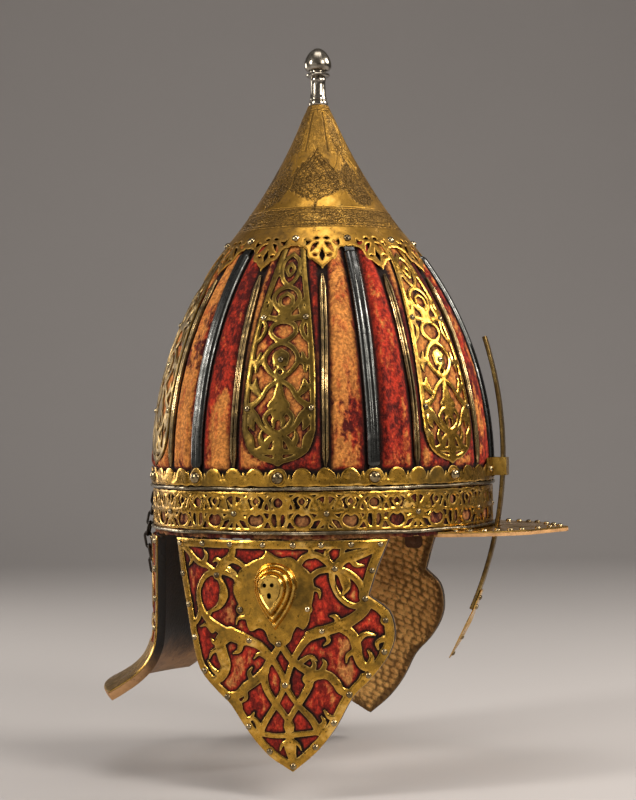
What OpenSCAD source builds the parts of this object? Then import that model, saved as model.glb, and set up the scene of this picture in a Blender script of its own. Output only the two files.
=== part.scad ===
// Turkish helmet: a velvet-covered steel bowl with gilt openwork, a conical cap with a finial,
// a peak with a sliding nasal, two cheekpieces and a chained neck guard.
// Millimetres. +X is forward, +Y is the wearer's left, +Z is up.
// The origin is the centre of the head opening, in the plane of the bowl's rim.

/* [Bowl] */
// Diameter of the bowl over its velvet
bowl_d = 212; // [206:1:218]
// Height above the rim where the side begins to curve in
spring_z = 38; // [37:0.5:40]
// Radius of the side's curve, seen in profile
side_curve_r = 218; // [214:1:224]
// Thickness of the velvet with its linen backing
velvet_t = 1.6; // [1.2:0.1:2]
// Thickness of the steel skull
skull_t = 1.4; // [1:0.1:1.8]
// Thickness of the quilted lining
lining_t = 4.8; // [4:0.1:5.5]
// Height at which the lining is closed by its leather disc
lining_top_z = 178; // [172:1:179]
// Thickness of the leather disc that closes the lining
crown_disc_t = 2; // [1:0.5:3]
// Thickness of the gilt sheet
gilt_t = 0.8; // [0.6:0.05:1]
// Gap between two layers
layer_gap = 0.1; // [0.1:0.05:0.15]

/* [Cap] */
// Height of the cap's foot
cap_foot_z = 180; // [179:0.5:182]
// Height of the cap's flat top
cap_top_z = 265; // [258:1:275]
// Radius of the cap's flat top
cap_top_r = 7.3; // [7:0.1:8]
// How far the cap's side is hollowed
cap_hollow = 4.5; // [2:0.5:5]
// Height of the rivets of the cap's border
cap_rivet_z = 174; // [173:0.5:175]
// Height of the leaf tips of the cap's border
border_tip_z = 154; // [151:0.5:156]

/* [Finial] */
// Radius of the finial's tang
tang_r = 2.5; // [2:0.1:3]
// Radius of the ring at the finial's foot
finial_foot_r = 6.1; // [5.5:0.1:7]
// Length of the tapered stem with its foot
stem_len = 18.5; // [15:0.5:22]
// Radius of the acorn knob
acorn_r = 8.6; // [8:0.1:10]
// Length of the acorn knob with its collar
acorn_len = 18.4; // [16:0.2:22]

/* [Ribs and panels] */
// Width of a steel rib
rib_w = 8.5; // [7:0.5:10]
// Height of a steel rib
rib_h = 3.3; // [2.5:0.1:4]
// Depth of the flute along a steel rib
rib_flute = 0.9; // [0.4:0.1:1.2]
// Thickness of the flat ends of a rib
tongue_t = 0.9; // [0.7:0.05:1]
// Width of a double-bead strip
bead_w = 4.2; // [3.4:0.2:5]
// Height of a double-bead strip
bead_h = 1.9; // [1.5:0.1:2.2]
// Gap between a double-bead strip and the tip of the cap's border
bead_end_gap = 1.2; // [1:0.1:8]
// Widest half-width of an openwork panel
panel_half = 21.5; // [20:0.5:22.5]
// Height of the lower tip of a panel
panel_tip_z = 39.8; // [39.6:0.2:41]

/* [Brow] */
// Lower edge of the lobed strip
strip_z0 = 28.4; // [28.4:0.1:29]
// Height of the tops of its lobes
strip_z1 = 38.6; // [37.5:0.1:39]
// Radius of one lobe
lobe_r = 5.8; // [5:0.1:6.2]
// Lower and upper edge of the pierced brow band
brow_z0 = 2.6; // [2.4:0.1:3.2]
brow_z1 = 25.2; // [24.5:0.1:25.4]
// Radius of the wire above the brow band
upper_wire_r = 1.3; // [1:0.1:1.4]
// Radius of the wire along the rim
lower_wire_r = 1.1; // [0.9:0.1:1.2]

/* [Peak] */
// Reach of the peak's tip in front of the bowl
peak_len = 48; // [42:1:54]
// Half angle of the peak's root round the bowl
peak_root_angle = 36.5; // [35:0.5:38]
// Thickness of the peak's plate
peak_t = 1; // [0.8:0.1:1.2]
// Thickness of the leather below the peak
peak_leather_t = 2; // [1.5:0.1:2.4]
// Height of the flange that fixes the peak inside the skull
flange_h = 20; // [14:1:24]

/* [Nasal] */
// Radius of the curve along which the nasal bar slides
nasal_r = 240; // [230:1:250]
// Height of the middle of that curve
nasal_mid_z = 46; // [44:1:48]
// Distance of the bar's middle from the velvet, at that height
nasal_stand = 8.8; // [8.6:0.1:9.4]
// Width of the bar
nasal_w = 8; // [7:0.2:9]
// Thickness of the bar
nasal_t = 2.4; // [2:0.1:2.6]
// Angle of the bar's upper end on its curve
nasal_top_a = 17.1; // [15:0.1:18]
// Angle of the bar's lower end on its curve
nasal_foot_a = -24; // [-26:0.1:-24]
// Angle of the leaf's lower tip on that curve
leaf_tip_a = -32.3; // [-33:0.1:-31.5]
// Width of the leaf
leaf_w = 22; // [20:0.5:26]
// Running gap between the bar and its guides
slide_gap = 0.45; // [0.4:0.05:0.6]

/* [Cheekpieces] */
// Gap between the rim and the cheekpieces
flap_gap = 3; // [2.6:0.1:3.6]
// Depth of a cheekpiece from its top edge to its tip
cheek_drop = 132; // [126:1:138]
// Thickness of a cheekpiece's leather lining
cheek_lining_t = 2.8; // [2.4:0.1:3]
// Thickness of a cheekpiece's steel plate
cheek_plate_t = 1.2; // [1:0.1:1.4]
// Width of the gilt frame round a cheekpiece
frame_w = 4.6; // [4:0.2:5]
// Height of the ear boss
boss_h = 8.5; // [6:0.5:10]
// Radius of the round part of the ear boss
boss_r = 12.5; // [11:0.5:13]
// Width of a hanging strap
strap_w = 14; // [12:1:16]
// Thickness of a hanging strap
strap_t = 1.4; // [1:0.1:1.6]
// Length of a strap inside the bowl, and inside the flap
strap_up = 12; // [8:1:14]
strap_down = 18; // [14:1:22]

/* [Neck guard] */
// Half angle of the neck guard round the back
neck_angle = 32.5; // [30:0.5:34]
// Depth of the neck guard down to its flared lip
neck_drop = 94; // [90:1:98]
// Thickness of the neck guard's lining
neck_lining_t = 2.5; // [2:0.1:3]
// Wire diameter of the chain
chain_wire = 1.6; // [1.4:0.1:1.8]

/* [Hidden] */
$fn = 72;

// Layers of the bowl, as distances outwards from the velvet's face
bowl_r = bowl_d / 2;
curve_x = bowl_r - side_curve_r;
skull_out = -velvet_t - layer_gap;
skull_in = skull_out - skull_t;
lining_out = skull_in - layer_gap;
lining_in = lining_out - lining_t;
rib_base = layer_gap;
strip_in = rib_base + tongue_t + layer_gap;
strip_out = strip_in + gilt_t;
head_r = bowl_r + lining_in;
// A layer's level width where the cap slopes, for a layer of thickness one
slope = 1.15;
// The seam of turned shapes is kept clear of the rivets
seam_turn = 8;
curve_step = 3;

// Points along the bowl's side at a distance off the velvet, from height z0 up to z1
function rise(off, z) = z <= spring_z ? 0 : asin((z - spring_z) / (side_curve_r + off));
function side_r(off, z) = curve_x + (side_curve_r + off) * cos(rise(off, z));
function side_point(off, a) = [curve_x + (side_curve_r + off) * cos(a),
    spring_z + (side_curve_r + off) * sin(a)];
function side_line(off, z0, z1) = concat([[side_r(off, z0), z0]],
    z0 < spring_z && z1 > spring_z ? [[bowl_r + off, spring_z]] : [],
    [for (a = [curve_step * (1 + floor(rise(off, z0) / curve_step)) : curve_step :
        rise(off, z1) - 0.4]) side_point(off, a)],
    [[side_r(off, z1), z1]]);
function reversed(p) = [for (i = [len(p) - 1 : -1 : 0]) p[i]];
function mirrored(p) = [for (q = p) [-q[0], q[1]]];
// A list of points closed over the middle line by its own mirror image
function both_sides(p) = concat(p, reversed(mirrored(p)));
function band(off0, off1, z0, z1) = concat(side_line(off1, z0, z1), reversed(side_line(off0, z0, z1)));

// A smooth line through given points, with n steps between two of them
function between(a, b, c, d, t) = 0.5 * (2 * b + (c - a) * t + (2 * a - 5 * b + 4 * c - d) * t * t
    + (3 * b - a - 3 * c + d) * t * t * t);
function smooth(p, n = 3) = let (last = len(p) - 1) concat([for (i = [0 : last - 1], k = [0 : n - 1])
    between(p[max(i - 1, 0)], p[i], p[i + 1], p[min(i + 2, last)], k / n)], [p[last]]);
function arc_points(c, r, a0, a1, n) = [for (i = [0 : n]) let (a = a0 + (a1 - a0) * i / n)
    c + r * [cos(a), sin(a)]];
function unit(v) = v / max(norm(v), 0.001);
function across(p, i) = let (d = unit(p[min(i + 1, len(p) - 1)] - p[max(i - 1, 0)])) [-d[1], d[0]];
// The outline of a strip of width w along the points p, drawn to a point where taper is 1
function strip_outline(p, w, taper = 0) = let (last = len(p) - 1,
    h = [for (i = [0 : last]) w / 2 * (1 - taper * pow(2 * i / last - 1, 2) * 0.8)])
    concat([for (i = [0 : last]) p[i] + h[i] * across(p, i)],
    [for (i = [last : -1 : 0]) p[i] - h[i] * across(p, i)]);
// A leaf-shaped hole of length l and width w about c, turned by a
function leaf(c, l, w, a) = [for (q = [[0, 0.5], [0.42, 0.18], [0.42, -0.18],
    [0, -0.5], [-0.42, -0.18], [-0.42, 0.18]])
    c + [q[0] * w * cos(a) - q[1] * l * sin(a), q[0] * w * sin(a) + q[1] * l * cos(a)]];
// A profile moved sideways by d, for the layers of the neck guard
function moved(p, d) = [for (i = [0 : len(p) - 1]) p[i] - d * across(p, i)];

// Places on the bowl: outwards is local +Z
module on_curve(theta, z, off) rotate([0, 0, theta]) translate([curve_x, 0, spring_z])
    rotate([0, -rise(0, z), 0]) translate([side_curve_r + off, 0, 0]) rotate([0, 90, 0]) children();
module on_side(theta, z, r) rotate([0, 0, theta]) translate([r, 0, z]) rotate([0, 90, 0]) children();
// A flat drawing in width and height becomes a bar that points along +X, or right through
module outwards(reach) rotate([90, 0, 90]) linear_extrude(height = reach) children();
module right_through() translate([-150, 0, 0]) outwards(300) children();
module window(r) translate([r - 4, 0, 0]) outwards(8) children();
module turned() rotate([0, 0, seam_turn]) rotate_extrude() children();
// A bent bar about a level axis through (x, z), between two angles above the level
module bent_bar(x, z, a0, a1) translate([x, 0, z]) rotate([90, 0, 0]) rotate([0, 0, a0])
    rotate_extrude(angle = a1 - a0, $fn = 360) children();

// A domed rivet whose head starts at z = 0 and whose shank goes down
module rivet(r, h, shank_r, length) rotate_extrude() polygon([[0, h], [r * 0.45, h * 0.9],
    [r * 0.82, h * 0.55], [r, 0.2], [r, 0], [shank_r, 0], [shank_r, -length], [0, -length]]);
hole_gap = 0.05;
head_gap = 0.05;
module drill(shank_r) cylinder(r = shank_r + hole_gap, h = 30, center = true);

// Rivet places
cap_shank = 1.1;
module cap_rivet_places(off = 0) for (i = [0 : 11]) on_curve(30 * i, cap_rivet_z, off) children();
band_shank = 1.2;
band_rivet_z = (strip_z0 + strip_z1) / 2 - 0.4;
module band_rivet_places(r = 0) for (i = [0 : 11]) on_side(30 * i, band_rivet_z, r) children();
panel_shank = 0.8;
panel_spots = [[12.6, 126], [-12.6, 126], [0, 101], [19, 73], [-19, 73]];
function spot_turn(p) = asin(p[0] / side_r(0, p[1]));
module panel_rivet_places(theta, off = 0) for (p = panel_spots)
    on_curve(theta + spot_turn(p), p[1], off) children();
brow_shank = 0.8;
brow_rivet_z = 12.5;
module brow_rivet_places(r = 0) for (i = [0 : 11]) on_side(30 * i + 15, brow_rivet_z, r) children();
bracket_shank = 0.9;
bracket_y = 10.5;
bracket_z0 = 31;
bracket_h = 11;
bracket_rivet_z = 35;
module bracket_rivet_places(r = 0) for (s = [-1, 1])
    on_side(s * asin(bracket_y / bowl_r), bracket_rivet_z, r) children();
staple_half = 3;
staple_z = 20;
module rear_staple_holes() for (s = [-1, 1])
    translate([-bowl_r - 12, s * staple_half, staple_z]) rotate([0, 90, 0])
    cylinder(r = chain_wire / 2 + hole_gap, h = 20);

module skull_holes() {
    cap_rivet_places() drill(cap_shank);
    band_rivet_places(bowl_r) drill(band_shank);
    for (i = [0 : 5]) panel_rivet_places(30 + 60 * i) drill(panel_shank);
    bracket_rivet_places(bowl_r) drill(bracket_shank);
}

// The cap's outer radius at a height above its foot
cap_foot_r = side_r(strip_out, cap_foot_z);
function cap_t(z) = (z - cap_foot_z) / (cap_top_z - cap_foot_z);
function cap_r(z) = cap_foot_r + (cap_top_r - cap_foot_r) * cap_t(z)
    - 4 * cap_hollow * cap_t(z) * (1 - cap_t(z));
function cap_line(inset, z1) = [for (i = [1 : 9]) let (z = cap_foot_z + (z1 - cap_foot_z) * i / 9)
    [cap_r(z) - inset, z]];
// Under the cap the skull draws up to the cap's inside within the first quarter
apex_gap = 0.3;
foot_gap = cap_foot_r - gilt_t * slope - side_r(skull_out, cap_foot_z);
function skull_under_cap(z) = cap_r(z) - gilt_t * slope
    - max(apex_gap, foot_gap + (apex_gap - foot_gap) * cap_t(z) * 4);
skull_top_z = cap_top_z - gilt_t - layer_gap;
skull_top_t = 3;
function skull_tip(inset, z1) = [for (i = [1 : 9]) let (z = cap_foot_z + (z1 - cap_foot_z) * i / 9)
    [skull_under_cap(z) - inset, z]];

module skull() color("slategray") difference() {
    turned() polygon(concat(side_line(skull_out, 0, cap_foot_z), skull_tip(0, skull_top_z),
        [[tang_r + hole_gap, skull_top_z], [tang_r + hole_gap, skull_top_z - skull_top_t]],
        reversed(skull_tip(skull_t * slope, skull_top_z - skull_top_t)),
        reversed(side_line(skull_in, 0, cap_foot_z))));
    skull_holes();
    brow_rivet_places(bowl_r) drill(brow_shank);
    rear_staple_holes();
}

cover_z0 = 26;
module velvet_cover() color("firebrick") difference() {
    turned() polygon(band(-velvet_t, 0, cover_z0, cap_foot_z));
    skull_holes();
}
module band_backing() color("indianred") difference() {
    turned() translate([bowl_r - velvet_t, 0.6])
        square([velvet_t, cover_z0 - layer_gap - 0.6]);
    brow_rivet_places(bowl_r) drill(brow_shank);
    rear_staple_holes();
}

// The lining leaves room for the peak's flange in front and for the straps at the sides
strap_r = head_r + 0.6;
strap_angles = [-32, -4, 24];
module strap_pocket(a) rotate([0, 0, a - 90])
    translate([head_r - 6, -strap_w / 2 - 0.3, -1])
    cube([6.7 + strap_t, strap_w + 0.6, strap_up + 1.4]);
module head_lining() color("tan") difference() {
    turned() polygon(concat(side_line(lining_out, 0, lining_top_z),
        reversed(side_line(lining_in, 0, lining_top_z))));
    rotate([0, 0, -peak_root_angle - 1.5]) rotate_extrude(angle = 2 * peak_root_angle + 3)
        translate([bowl_r + lining_out - peak_t - layer_gap, -1])
        square([peak_t + 2, flange_h + 1.4]);
    for (a = strap_angles) { strap_pocket(a); on_left() strap_pocket(a); }
}
disc_gap = 0.3;
module crown_disc() color("saddlebrown")
    translate([0, 0, lining_top_z - crown_disc_t - disc_gap])
    cylinder(r = side_r(lining_in, lining_top_z) - layer_gap, h = crown_disc_t);

// Half of the opening between two leaves of the cap's border, as width and height
border_top_z = cap_rivet_z - 5;
half_pitch = side_r(strip_out, border_tip_z) * sin(15);
border_opening = [[4.5, border_top_z - 0.5], [8, border_top_z - 3.5], [9.5, border_top_z - 7],
    [half_pitch - 5, border_tip_z + 6], [half_pitch - 2.2, border_tip_z + 3],
    [half_pitch - 0.5, border_tip_z], [half_pitch, border_tip_z - 6]];
module crown_cap() color("goldenrod") difference() {
    turned() polygon(concat(side_line(strip_out, border_tip_z - 0.4, cap_foot_z), cap_line(0, cap_top_z),
        [[tang_r + hole_gap, cap_top_z], [tang_r + hole_gap, cap_top_z - gilt_t]],
        reversed(cap_line(gilt_t * slope, cap_top_z - gilt_t)),
        reversed(side_line(strip_in, border_tip_z - 0.4, cap_foot_z))));
    for (i = [0 : 5]) rotate([0, 0, 30 * i]) right_through() polygon(both_sides(border_opening));
    for (i = [0 : 5]) rotate([0, 0, 30 * i + 15]) {
        right_through() polygon(leaf([0, border_tip_z + 8.5], 8, 4, 0));
        right_through() polygon(leaf([6.2, border_top_z + 1.5], 5.4, 3.4, 50));
        right_through() polygon(leaf([-6.2, border_top_z + 1.5], 5.4, 3.4, -50));
    }
    cap_rivet_places() drill(cap_shank);
}
module cap_rivets() color("lightgoldenrodyellow") cap_rivet_places(strip_out + head_gap)
    rivet(2.5, 2, cap_shank, strip_out - skull_in + head_gap);

// Finial: the socket's tang goes through the cap and the skull, over a washer
spigot_r = 2;
spigot_h = 8;
washer_t = 2;
foot_z = cap_top_z + layer_gap;
stem_top_z = foot_z + stem_len;
peen_z = skull_top_z - skull_top_t - layer_gap - washer_t;
module finial_socket() color("silver") rotate_extrude() polygon(concat([[0, stem_top_z + spigot_h],
    [spigot_r, stem_top_z + spigot_h], [spigot_r, stem_top_z], [4.7, stem_top_z],
    [4.7, stem_top_z - 2], [5.1, stem_top_z - 9], [5.5, foot_z + 3.6], [finial_foot_r, foot_z + 2.9],
    [finial_foot_r, foot_z], [tang_r, foot_z], [tang_r, peen_z - layer_gap],
    [tang_r + 1.1, peen_z - layer_gap], [tang_r + 0.6, peen_z - 1.6], [0, peen_z - 1.6]]));
knob_z = stem_top_z + layer_gap;
module finial_knob() color("gainsboro") rotate_extrude() polygon(concat(
    [[spigot_r + hole_gap, knob_z], [7.2, knob_z], [7.6, knob_z + 0.7], [7.2, knob_z + 1.9],
    [5.1, knob_z + 2.6]],
    [for (q = [[0.78, 0.2], [0.93, 0.28], [1, 0.4], [0.94, 0.56], [0.76, 0.7], [0.5, 0.83], [0.22, 0.94]])
        [acorn_r * q[0], knob_z + acorn_len * q[1]]],
    [[0, knob_z + acorn_len], [0, knob_z + spigot_h + 0.3], [spigot_r + hole_gap, knob_z + spigot_h + 0.3]]));
module finial_washer() color("dimgray") translate([0, 0, peen_z]) difference() {
    cylinder(r = tang_r + 2.5, h = washer_t);
    translate([0, 0, -1]) cylinder(r = tang_r + hole_gap, h = washer_t + 2);
}

// Steel ribs: a fluted body, and flat tongues under the cap's border and the lobed strip
rib_z0 = strip_z1 + 0.6;
rib_z1 = border_top_z - 2.8;
rib_section = [for (a = [0 : 15 : 180]) [side_curve_r + rib_base
    + max(rib_h * sin(a) - (a == 90 ? rib_flute : 0), 0.5), -rib_w / 2 * cos(a)]];
tongue_w = rib_w - 2.2;
tongue_lift = 0.15;
module steel_rib(theta) color("slategray") rotate([0, 0, theta]) difference() {
    union() {
        bent_bar(curve_x, spring_z, rise(0, rib_z0), rise(0, rib_z1))
            polygon(concat(rib_section, [[side_curve_r + rib_base, rib_w / 2],
                [side_curve_r + rib_base, -rib_w / 2]]));
        rotate([90, 0, 0]) translate([0, 0, -tongue_w / 2]) linear_extrude(height = tongue_w)
            polygon(band(rib_base + tongue_lift, rib_base + tongue_t, strip_z0 + 0.4, panel_top_z));
    }
    on_curve(0, cap_rivet_z, 0) drill(cap_shank);
    on_side(0, band_rivet_z, bowl_r) drill(band_shank);
}

module bead_ribs() color("peru") for (i = [0 : 11]) rotate([0, 0, 15 + 30 * i])
    bent_bar(curve_x, spring_z, rise(0, rib_z0 + 0.4), rise(0, border_tip_z - 0.4 - bead_end_gap))
    polygon(concat([[side_curve_r + rib_base, bead_w / 2], [side_curve_r + rib_base, -bead_w / 2]],
        [for (a = [180 : -30 : 0]) [side_curve_r + rib_base + 0.3 + (bead_h - 0.3) * sin(a),
            -bead_w / 4 + bead_w / 4 * cos(a)]],
        [for (a = [150 : -30 : 0]) [side_curve_r + rib_base + 0.3 + (bead_h - 0.3) * sin(a),
            bead_w / 4 + bead_w / 4 * cos(a)]]));

// Openwork panels: half outline from the top down, and the openings of one half
panel_top_z = cap_rivet_z + 3.5;
panel_edge = concat([[5.6, panel_top_z]], smooth([[6.4, 170], [10.6, 150], [15.2, 129], [19.4, 101],
    [panel_half - 0.2, 74], [panel_half, 60]]), smooth([[panel_half - 1.6, 54], [17, 48], [10, 43.4],
    [3.6, 41.6], [0.6, panel_tip_z]], 2));
panel_openings = [leaf([2.9, 161.5], 5.2, 3.6, 0), leaf([3.2, 153.6], 5.8, 4, 20),
    leaf([4.6, 144.6], 9, 6.2, -30), leaf([8.4, 134], 10, 4.8, 12), leaf([3.2, 131.4], 7, 3.6, -20),
    leaf([7, 120.2], 9.4, 5.8, 60), leaf([14.2, 113.6], 11.6, 3.6, 14), leaf([7.4, 109.8], 8.6, 5, -35),
    leaf([14.2, 101], 10, 6.4, 0), leaf([6, 93.6], 10, 7.2, 30), leaf([14.8, 88.6], 12, 5.6, -24),
    leaf([6.6, 82.2], 13.5, 5, 22), leaf([13.2, 77], 8.6, 4, 30), leaf([5.4, 69], 10.5, 6.6, 60),
    leaf([13.4, 64], 12, 6, -16), leaf([5.2, 57.4], 10.5, 6.2, -24), leaf([17.6, 57.8], 8.4, 2.8, 8),
    leaf([8, 47.8], 10, 4.4, 78)];
module openwork_panel(theta) color("darkgoldenrod") rotate([0, 0, theta]) difference() {
    intersection() {
        rotate([0, 0, -15]) rotate_extrude(angle = 30)
            polygon(band(rib_base, rib_base + gilt_t, panel_tip_z - 0.6, panel_top_z));
        outwards(150) difference() {
            polygon(both_sides(panel_edge));
            for (p = panel_openings) { polygon(p); polygon(mirrored(p)); }
        }
    }
    on_curve(0, cap_rivet_z, 0) drill(cap_shank);
    panel_rivet_places(0) drill(panel_shank);
}
module panel_rivets() color("silver") for (i = [0 : 5])
    panel_rivet_places(30 + 60 * i, rib_base + gilt_t + head_gap)
    rivet(1.9, 1.5, panel_shank, rib_base + gilt_t + head_gap - skull_in);

// Lobed strip: four lobes between two rivets, with a small cusp in each gap
strip_r0 = bowl_r + strip_in;
strip_r1 = bowl_r + strip_out;
lobes = 48;
lobe_pitch = 2 * PI * strip_r1 / lobes;
lobe_mid_z = strip_z1 - lobe_r;
notch = concat([[0.25, lobe_mid_z + 2.2], [lobe_pitch / 2 - lobe_r + 0.25, lobe_mid_z - 0.6]],
    arc_points([lobe_pitch / 2, lobe_mid_z], lobe_r, 165, 96, 4),
    [[lobe_pitch / 2 - 0.6, strip_z1 + 3]]);
module scallop_band() color("goldenrod") difference() {
    rotate([0, 0, 3]) rotate_extrude() translate([strip_r0, strip_z0])
        square([gilt_t, strip_z1 - strip_z0]);
    for (i = [0 : lobes - 1]) rotate([0, 0, 360 / lobes * (i + 0.5)]) window(strip_r0)
        polygon(both_sides(notch));
    band_rivet_places(bowl_r) drill(band_shank);
    bracket_rivet_places(bowl_r) drill(bracket_shank);
}
module band_rivets() color("lightgoldenrodyellow") band_rivet_places(strip_r1 + head_gap)
    rivet(3.5, 2.7, band_shank, strip_r1 + head_gap - bowl_r - skull_in);

// Brow band: each twelfth has two round openings, two slits and a row of half-moons above
brow_r0 = bowl_r + layer_gap;
brow_low_z = brow_z0 + (brow_z1 - brow_z0) * 0.36;
brow_high_z = brow_z0 + (brow_z1 - brow_z0) * 0.78;
brow_foot_z = brow_z0 + (brow_z1 - brow_z0) * 0.08;
module brow_openings() {
    for (s = [-1, 1]) {
        rotate([0, 0, s * 8.6]) window(brow_r0) polygon(leaf([0, brow_low_z], 10.5, 9.6, 0));
        rotate([0, 0, s * 2]) window(brow_r0) polygon(leaf([0, brow_low_z], 9, 3, 0));
        rotate([0, 0, s * 3.6]) window(brow_r0) polygon(leaf([0, brow_high_z], 7, 4.6, s * 30));
        rotate([0, 0, s * 8]) window(brow_r0) polygon(leaf([0, brow_high_z], 6, 4, -s * 30));
        rotate([0, 0, s * 12.4]) window(brow_r0) polygon(leaf([0, brow_high_z], 6, 4, s * 20));
        rotate([0, 0, s * 4.4]) window(brow_r0) polygon(leaf([0, brow_foot_z], 6, 1.8, 90));
    }
}
module brow_band() color("goldenrod") difference() {
    turned() translate([brow_r0, brow_z0]) square([gilt_t, brow_z1 - brow_z0]);
    for (i = [0 : 11]) rotate([0, 0, 30 * i]) brow_openings();
    brow_rivet_places(bowl_r) drill(brow_shank);
    rear_staple_holes();
}
module brow_rivets() color("silver") brow_rivet_places(brow_r0 + gilt_t + head_gap)
    rivet(1.8, 1.3, brow_shank, brow_r0 + gilt_t + head_gap - bowl_r - skull_in);
module band_wires() color("silver") {
    rotate_extrude() translate([bowl_r + 2 * layer_gap + upper_wire_r, brow_z1 + 0.2 + upper_wire_r])
        circle(r = upper_wire_r);
    rotate_extrude() translate([bowl_r + 2 * layer_gap + lower_wire_r, brow_z0 - 0.2 - lower_wire_r])
        circle(r = lower_wire_r);
}

// Peak: a flat plate outside, and a flange turned up between the skull and the lining
peak_z = -0.2;
peak_reach = bowl_r + peak_len;
peak_side_x = bowl_r - 28;
peak_side_y = 12;
peak_side_r = 76;
peak_turn_a = 41.2;
peak_rivet_in = 4;
peak_tip_w = 0.6;
flange_r1 = bowl_r + skull_in - layer_gap;
flange_r0 = flange_r1 - peak_t;
peak_root = (bowl_r - 0.4) * [cos(peak_root_angle), sin(peak_root_angle)];
peak_half_plan = concat([[0, 0], peak_root],
    arc_points([peak_side_x, -peak_side_y], peak_side_r, 85, peak_turn_a, 9),
    [[peak_reach, peak_tip_w]]);
module peak_plan(inset = 0) difference() {
    polygon(concat(peak_half_plan, [for (q = reversed(peak_half_plan)) [q[0], -q[1]]]));
    circle(r = flange_r0 + inset);
}
slot_x = bowl_r + nasal_stand - nasal_r + nasal_r * cos(asin(nasal_mid_z / nasal_r));
module nasal_slot() translate([slot_x - nasal_t / 2 - slide_gap - 1, -nasal_w / 2 - slide_gap, -10])
    cube([nasal_t + 2 * slide_gap + 1.6, nasal_w + 2 * slide_gap, 20]);
peak_shank = 0.9;
module peak_rivet_places(z) {
    for (s = [-1, 1], i = [0 : 5]) let (a = 77 - 6.8 * i, r = peak_side_r - peak_rivet_in)
        translate([peak_side_x + r * cos(a), s * (r * sin(a) - peak_side_y), z]) children();
    for (s = [-1, 1], t = [0.36, 0.7]) let (r = peak_side_r - peak_rivet_in)
        translate([peak_side_x + r * cos(peak_turn_a), s * (r * sin(peak_turn_a) - peak_side_y), z])
        translate(t * [peak_reach - 5 - peak_side_x - r * cos(peak_turn_a),
            -s * (r * sin(peak_turn_a) - peak_side_y), 0]) children();
    translate([peak_reach - 5, 0, z]) children();
}
module peak_plate() color("goldenrod") difference() {
    union() {
        translate([0, 0, peak_z - peak_t]) linear_extrude(height = peak_t) peak_plan(peak_t / 2);
        rotate([0, 0, 1 - peak_root_angle]) rotate_extrude(angle = 2 * peak_root_angle - 2)
            translate([flange_r0, peak_z - peak_t]) square([peak_t, flange_h - peak_z]);
    }
    nasal_slot();
    peak_rivet_places(0) drill(peak_shank);
}
peak_under_z = peak_z - peak_t - layer_gap;
module peak_lining() color("rosybrown") difference() {
    translate([0, 0, peak_under_z - peak_leather_t]) linear_extrude(height = peak_leather_t)
        peak_plan();
    nasal_slot();
    peak_rivet_places(0) drill(peak_shank);
}
module peak_rivets() color("silver") peak_rivet_places(peak_z + head_gap)
    rivet(1.9, 1.4, peak_shank, peak_z + head_gap - peak_under_z + peak_leather_t);

// Nasal: a bar bent along one circle, so that it runs true through its strap and the peak
nasal_x = bowl_r + nasal_stand - nasal_r;
strap_wall = 1;
module nasal_bar() color("peru") difference() {
    bent_bar(nasal_x, nasal_mid_z, nasal_foot_a, nasal_top_a)
        translate([nasal_r - nasal_t / 2, -nasal_w / 2]) square([nasal_t, nasal_w]);
    leaf_rivet_places([leaf_rivet_a[0], leaf_rivet_a[1]]) drill(leaf_shank);
}
leaf_top_a = -20.9;
leaf_in = nasal_r + nasal_t / 2 + layer_gap;
leaf_shank = 0.8;
leaf_rivet_a = [-22, -23.5, -28.4, -31.2];
module leaf_rivet_places(angles) for (a = angles) translate([nasal_x, 0, nasal_mid_z])
    rotate([0, -a, 0]) translate([leaf_in, 0, 0]) rotate([0, 90, 0]) children();
// The leaf's half outline, as half-widths at heights between its top and its tip
leaf_z1 = nasal_r * sin(leaf_top_a);
leaf_z0 = nasal_r * sin(leaf_tip_a);
function leaf_at(w, t) = [w * leaf_w / 2, nasal_mid_z + leaf_z1 + (leaf_z0 - leaf_z1) * t];
leaf_edge = concat([leaf_at(0.3, 0), leaf_at(0.42, 0.04)],
    smooth([leaf_at(0.55, 0.16), leaf_at(0.5, 0.26), leaf_at(0.9, 0.4), leaf_at(1, 0.56),
    leaf_at(0.8, 0.74), leaf_at(0.4, 0.88), leaf_at(0.04, 1)], 2));
leaf_height = leaf_z1 - leaf_z0;
leaf_openings = [leaf(leaf_at(0.5, 0.5), leaf_height * 0.2, leaf_w * 0.2, 25),
    leaf(leaf_at(0.42, 0.71), leaf_height * 0.18, leaf_w * 0.17, -20)];
module nasal_leaf() color("goldenrod") difference() {
    intersection() {
        bent_bar(nasal_x, nasal_mid_z, leaf_tip_a - 1, leaf_top_a + 1)
            translate([leaf_in, -leaf_w]) square([gilt_t, 2 * leaf_w]);
        outwards(150) difference() {
            polygon(both_sides(leaf_edge));
            for (p = leaf_openings) { polygon(p); polygon(mirrored(p)); }
        }
    }
    leaf_rivet_places(leaf_rivet_a) drill(leaf_shank);
}
module nasal_rivets() color("silver") {
    leaf_rivet_places([leaf_rivet_a[0], leaf_rivet_a[1]]) translate([0, 0, gilt_t + head_gap])
        rivet(1.7, 1.2, leaf_shank, gilt_t + nasal_t + layer_gap + head_gap);
    leaf_rivet_places([leaf_rivet_a[2], leaf_rivet_a[3]]) translate([0, 0, gilt_t + head_gap])
        rivet(1.7, 1.2, leaf_shank, gilt_t + head_gap);
}
bracket_r0 = strip_r1 + layer_gap;
bracket_in = nasal_w / 2 + slide_gap;
bracket_front = bowl_r + nasal_stand + nasal_t / 2 + slide_gap;
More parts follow.
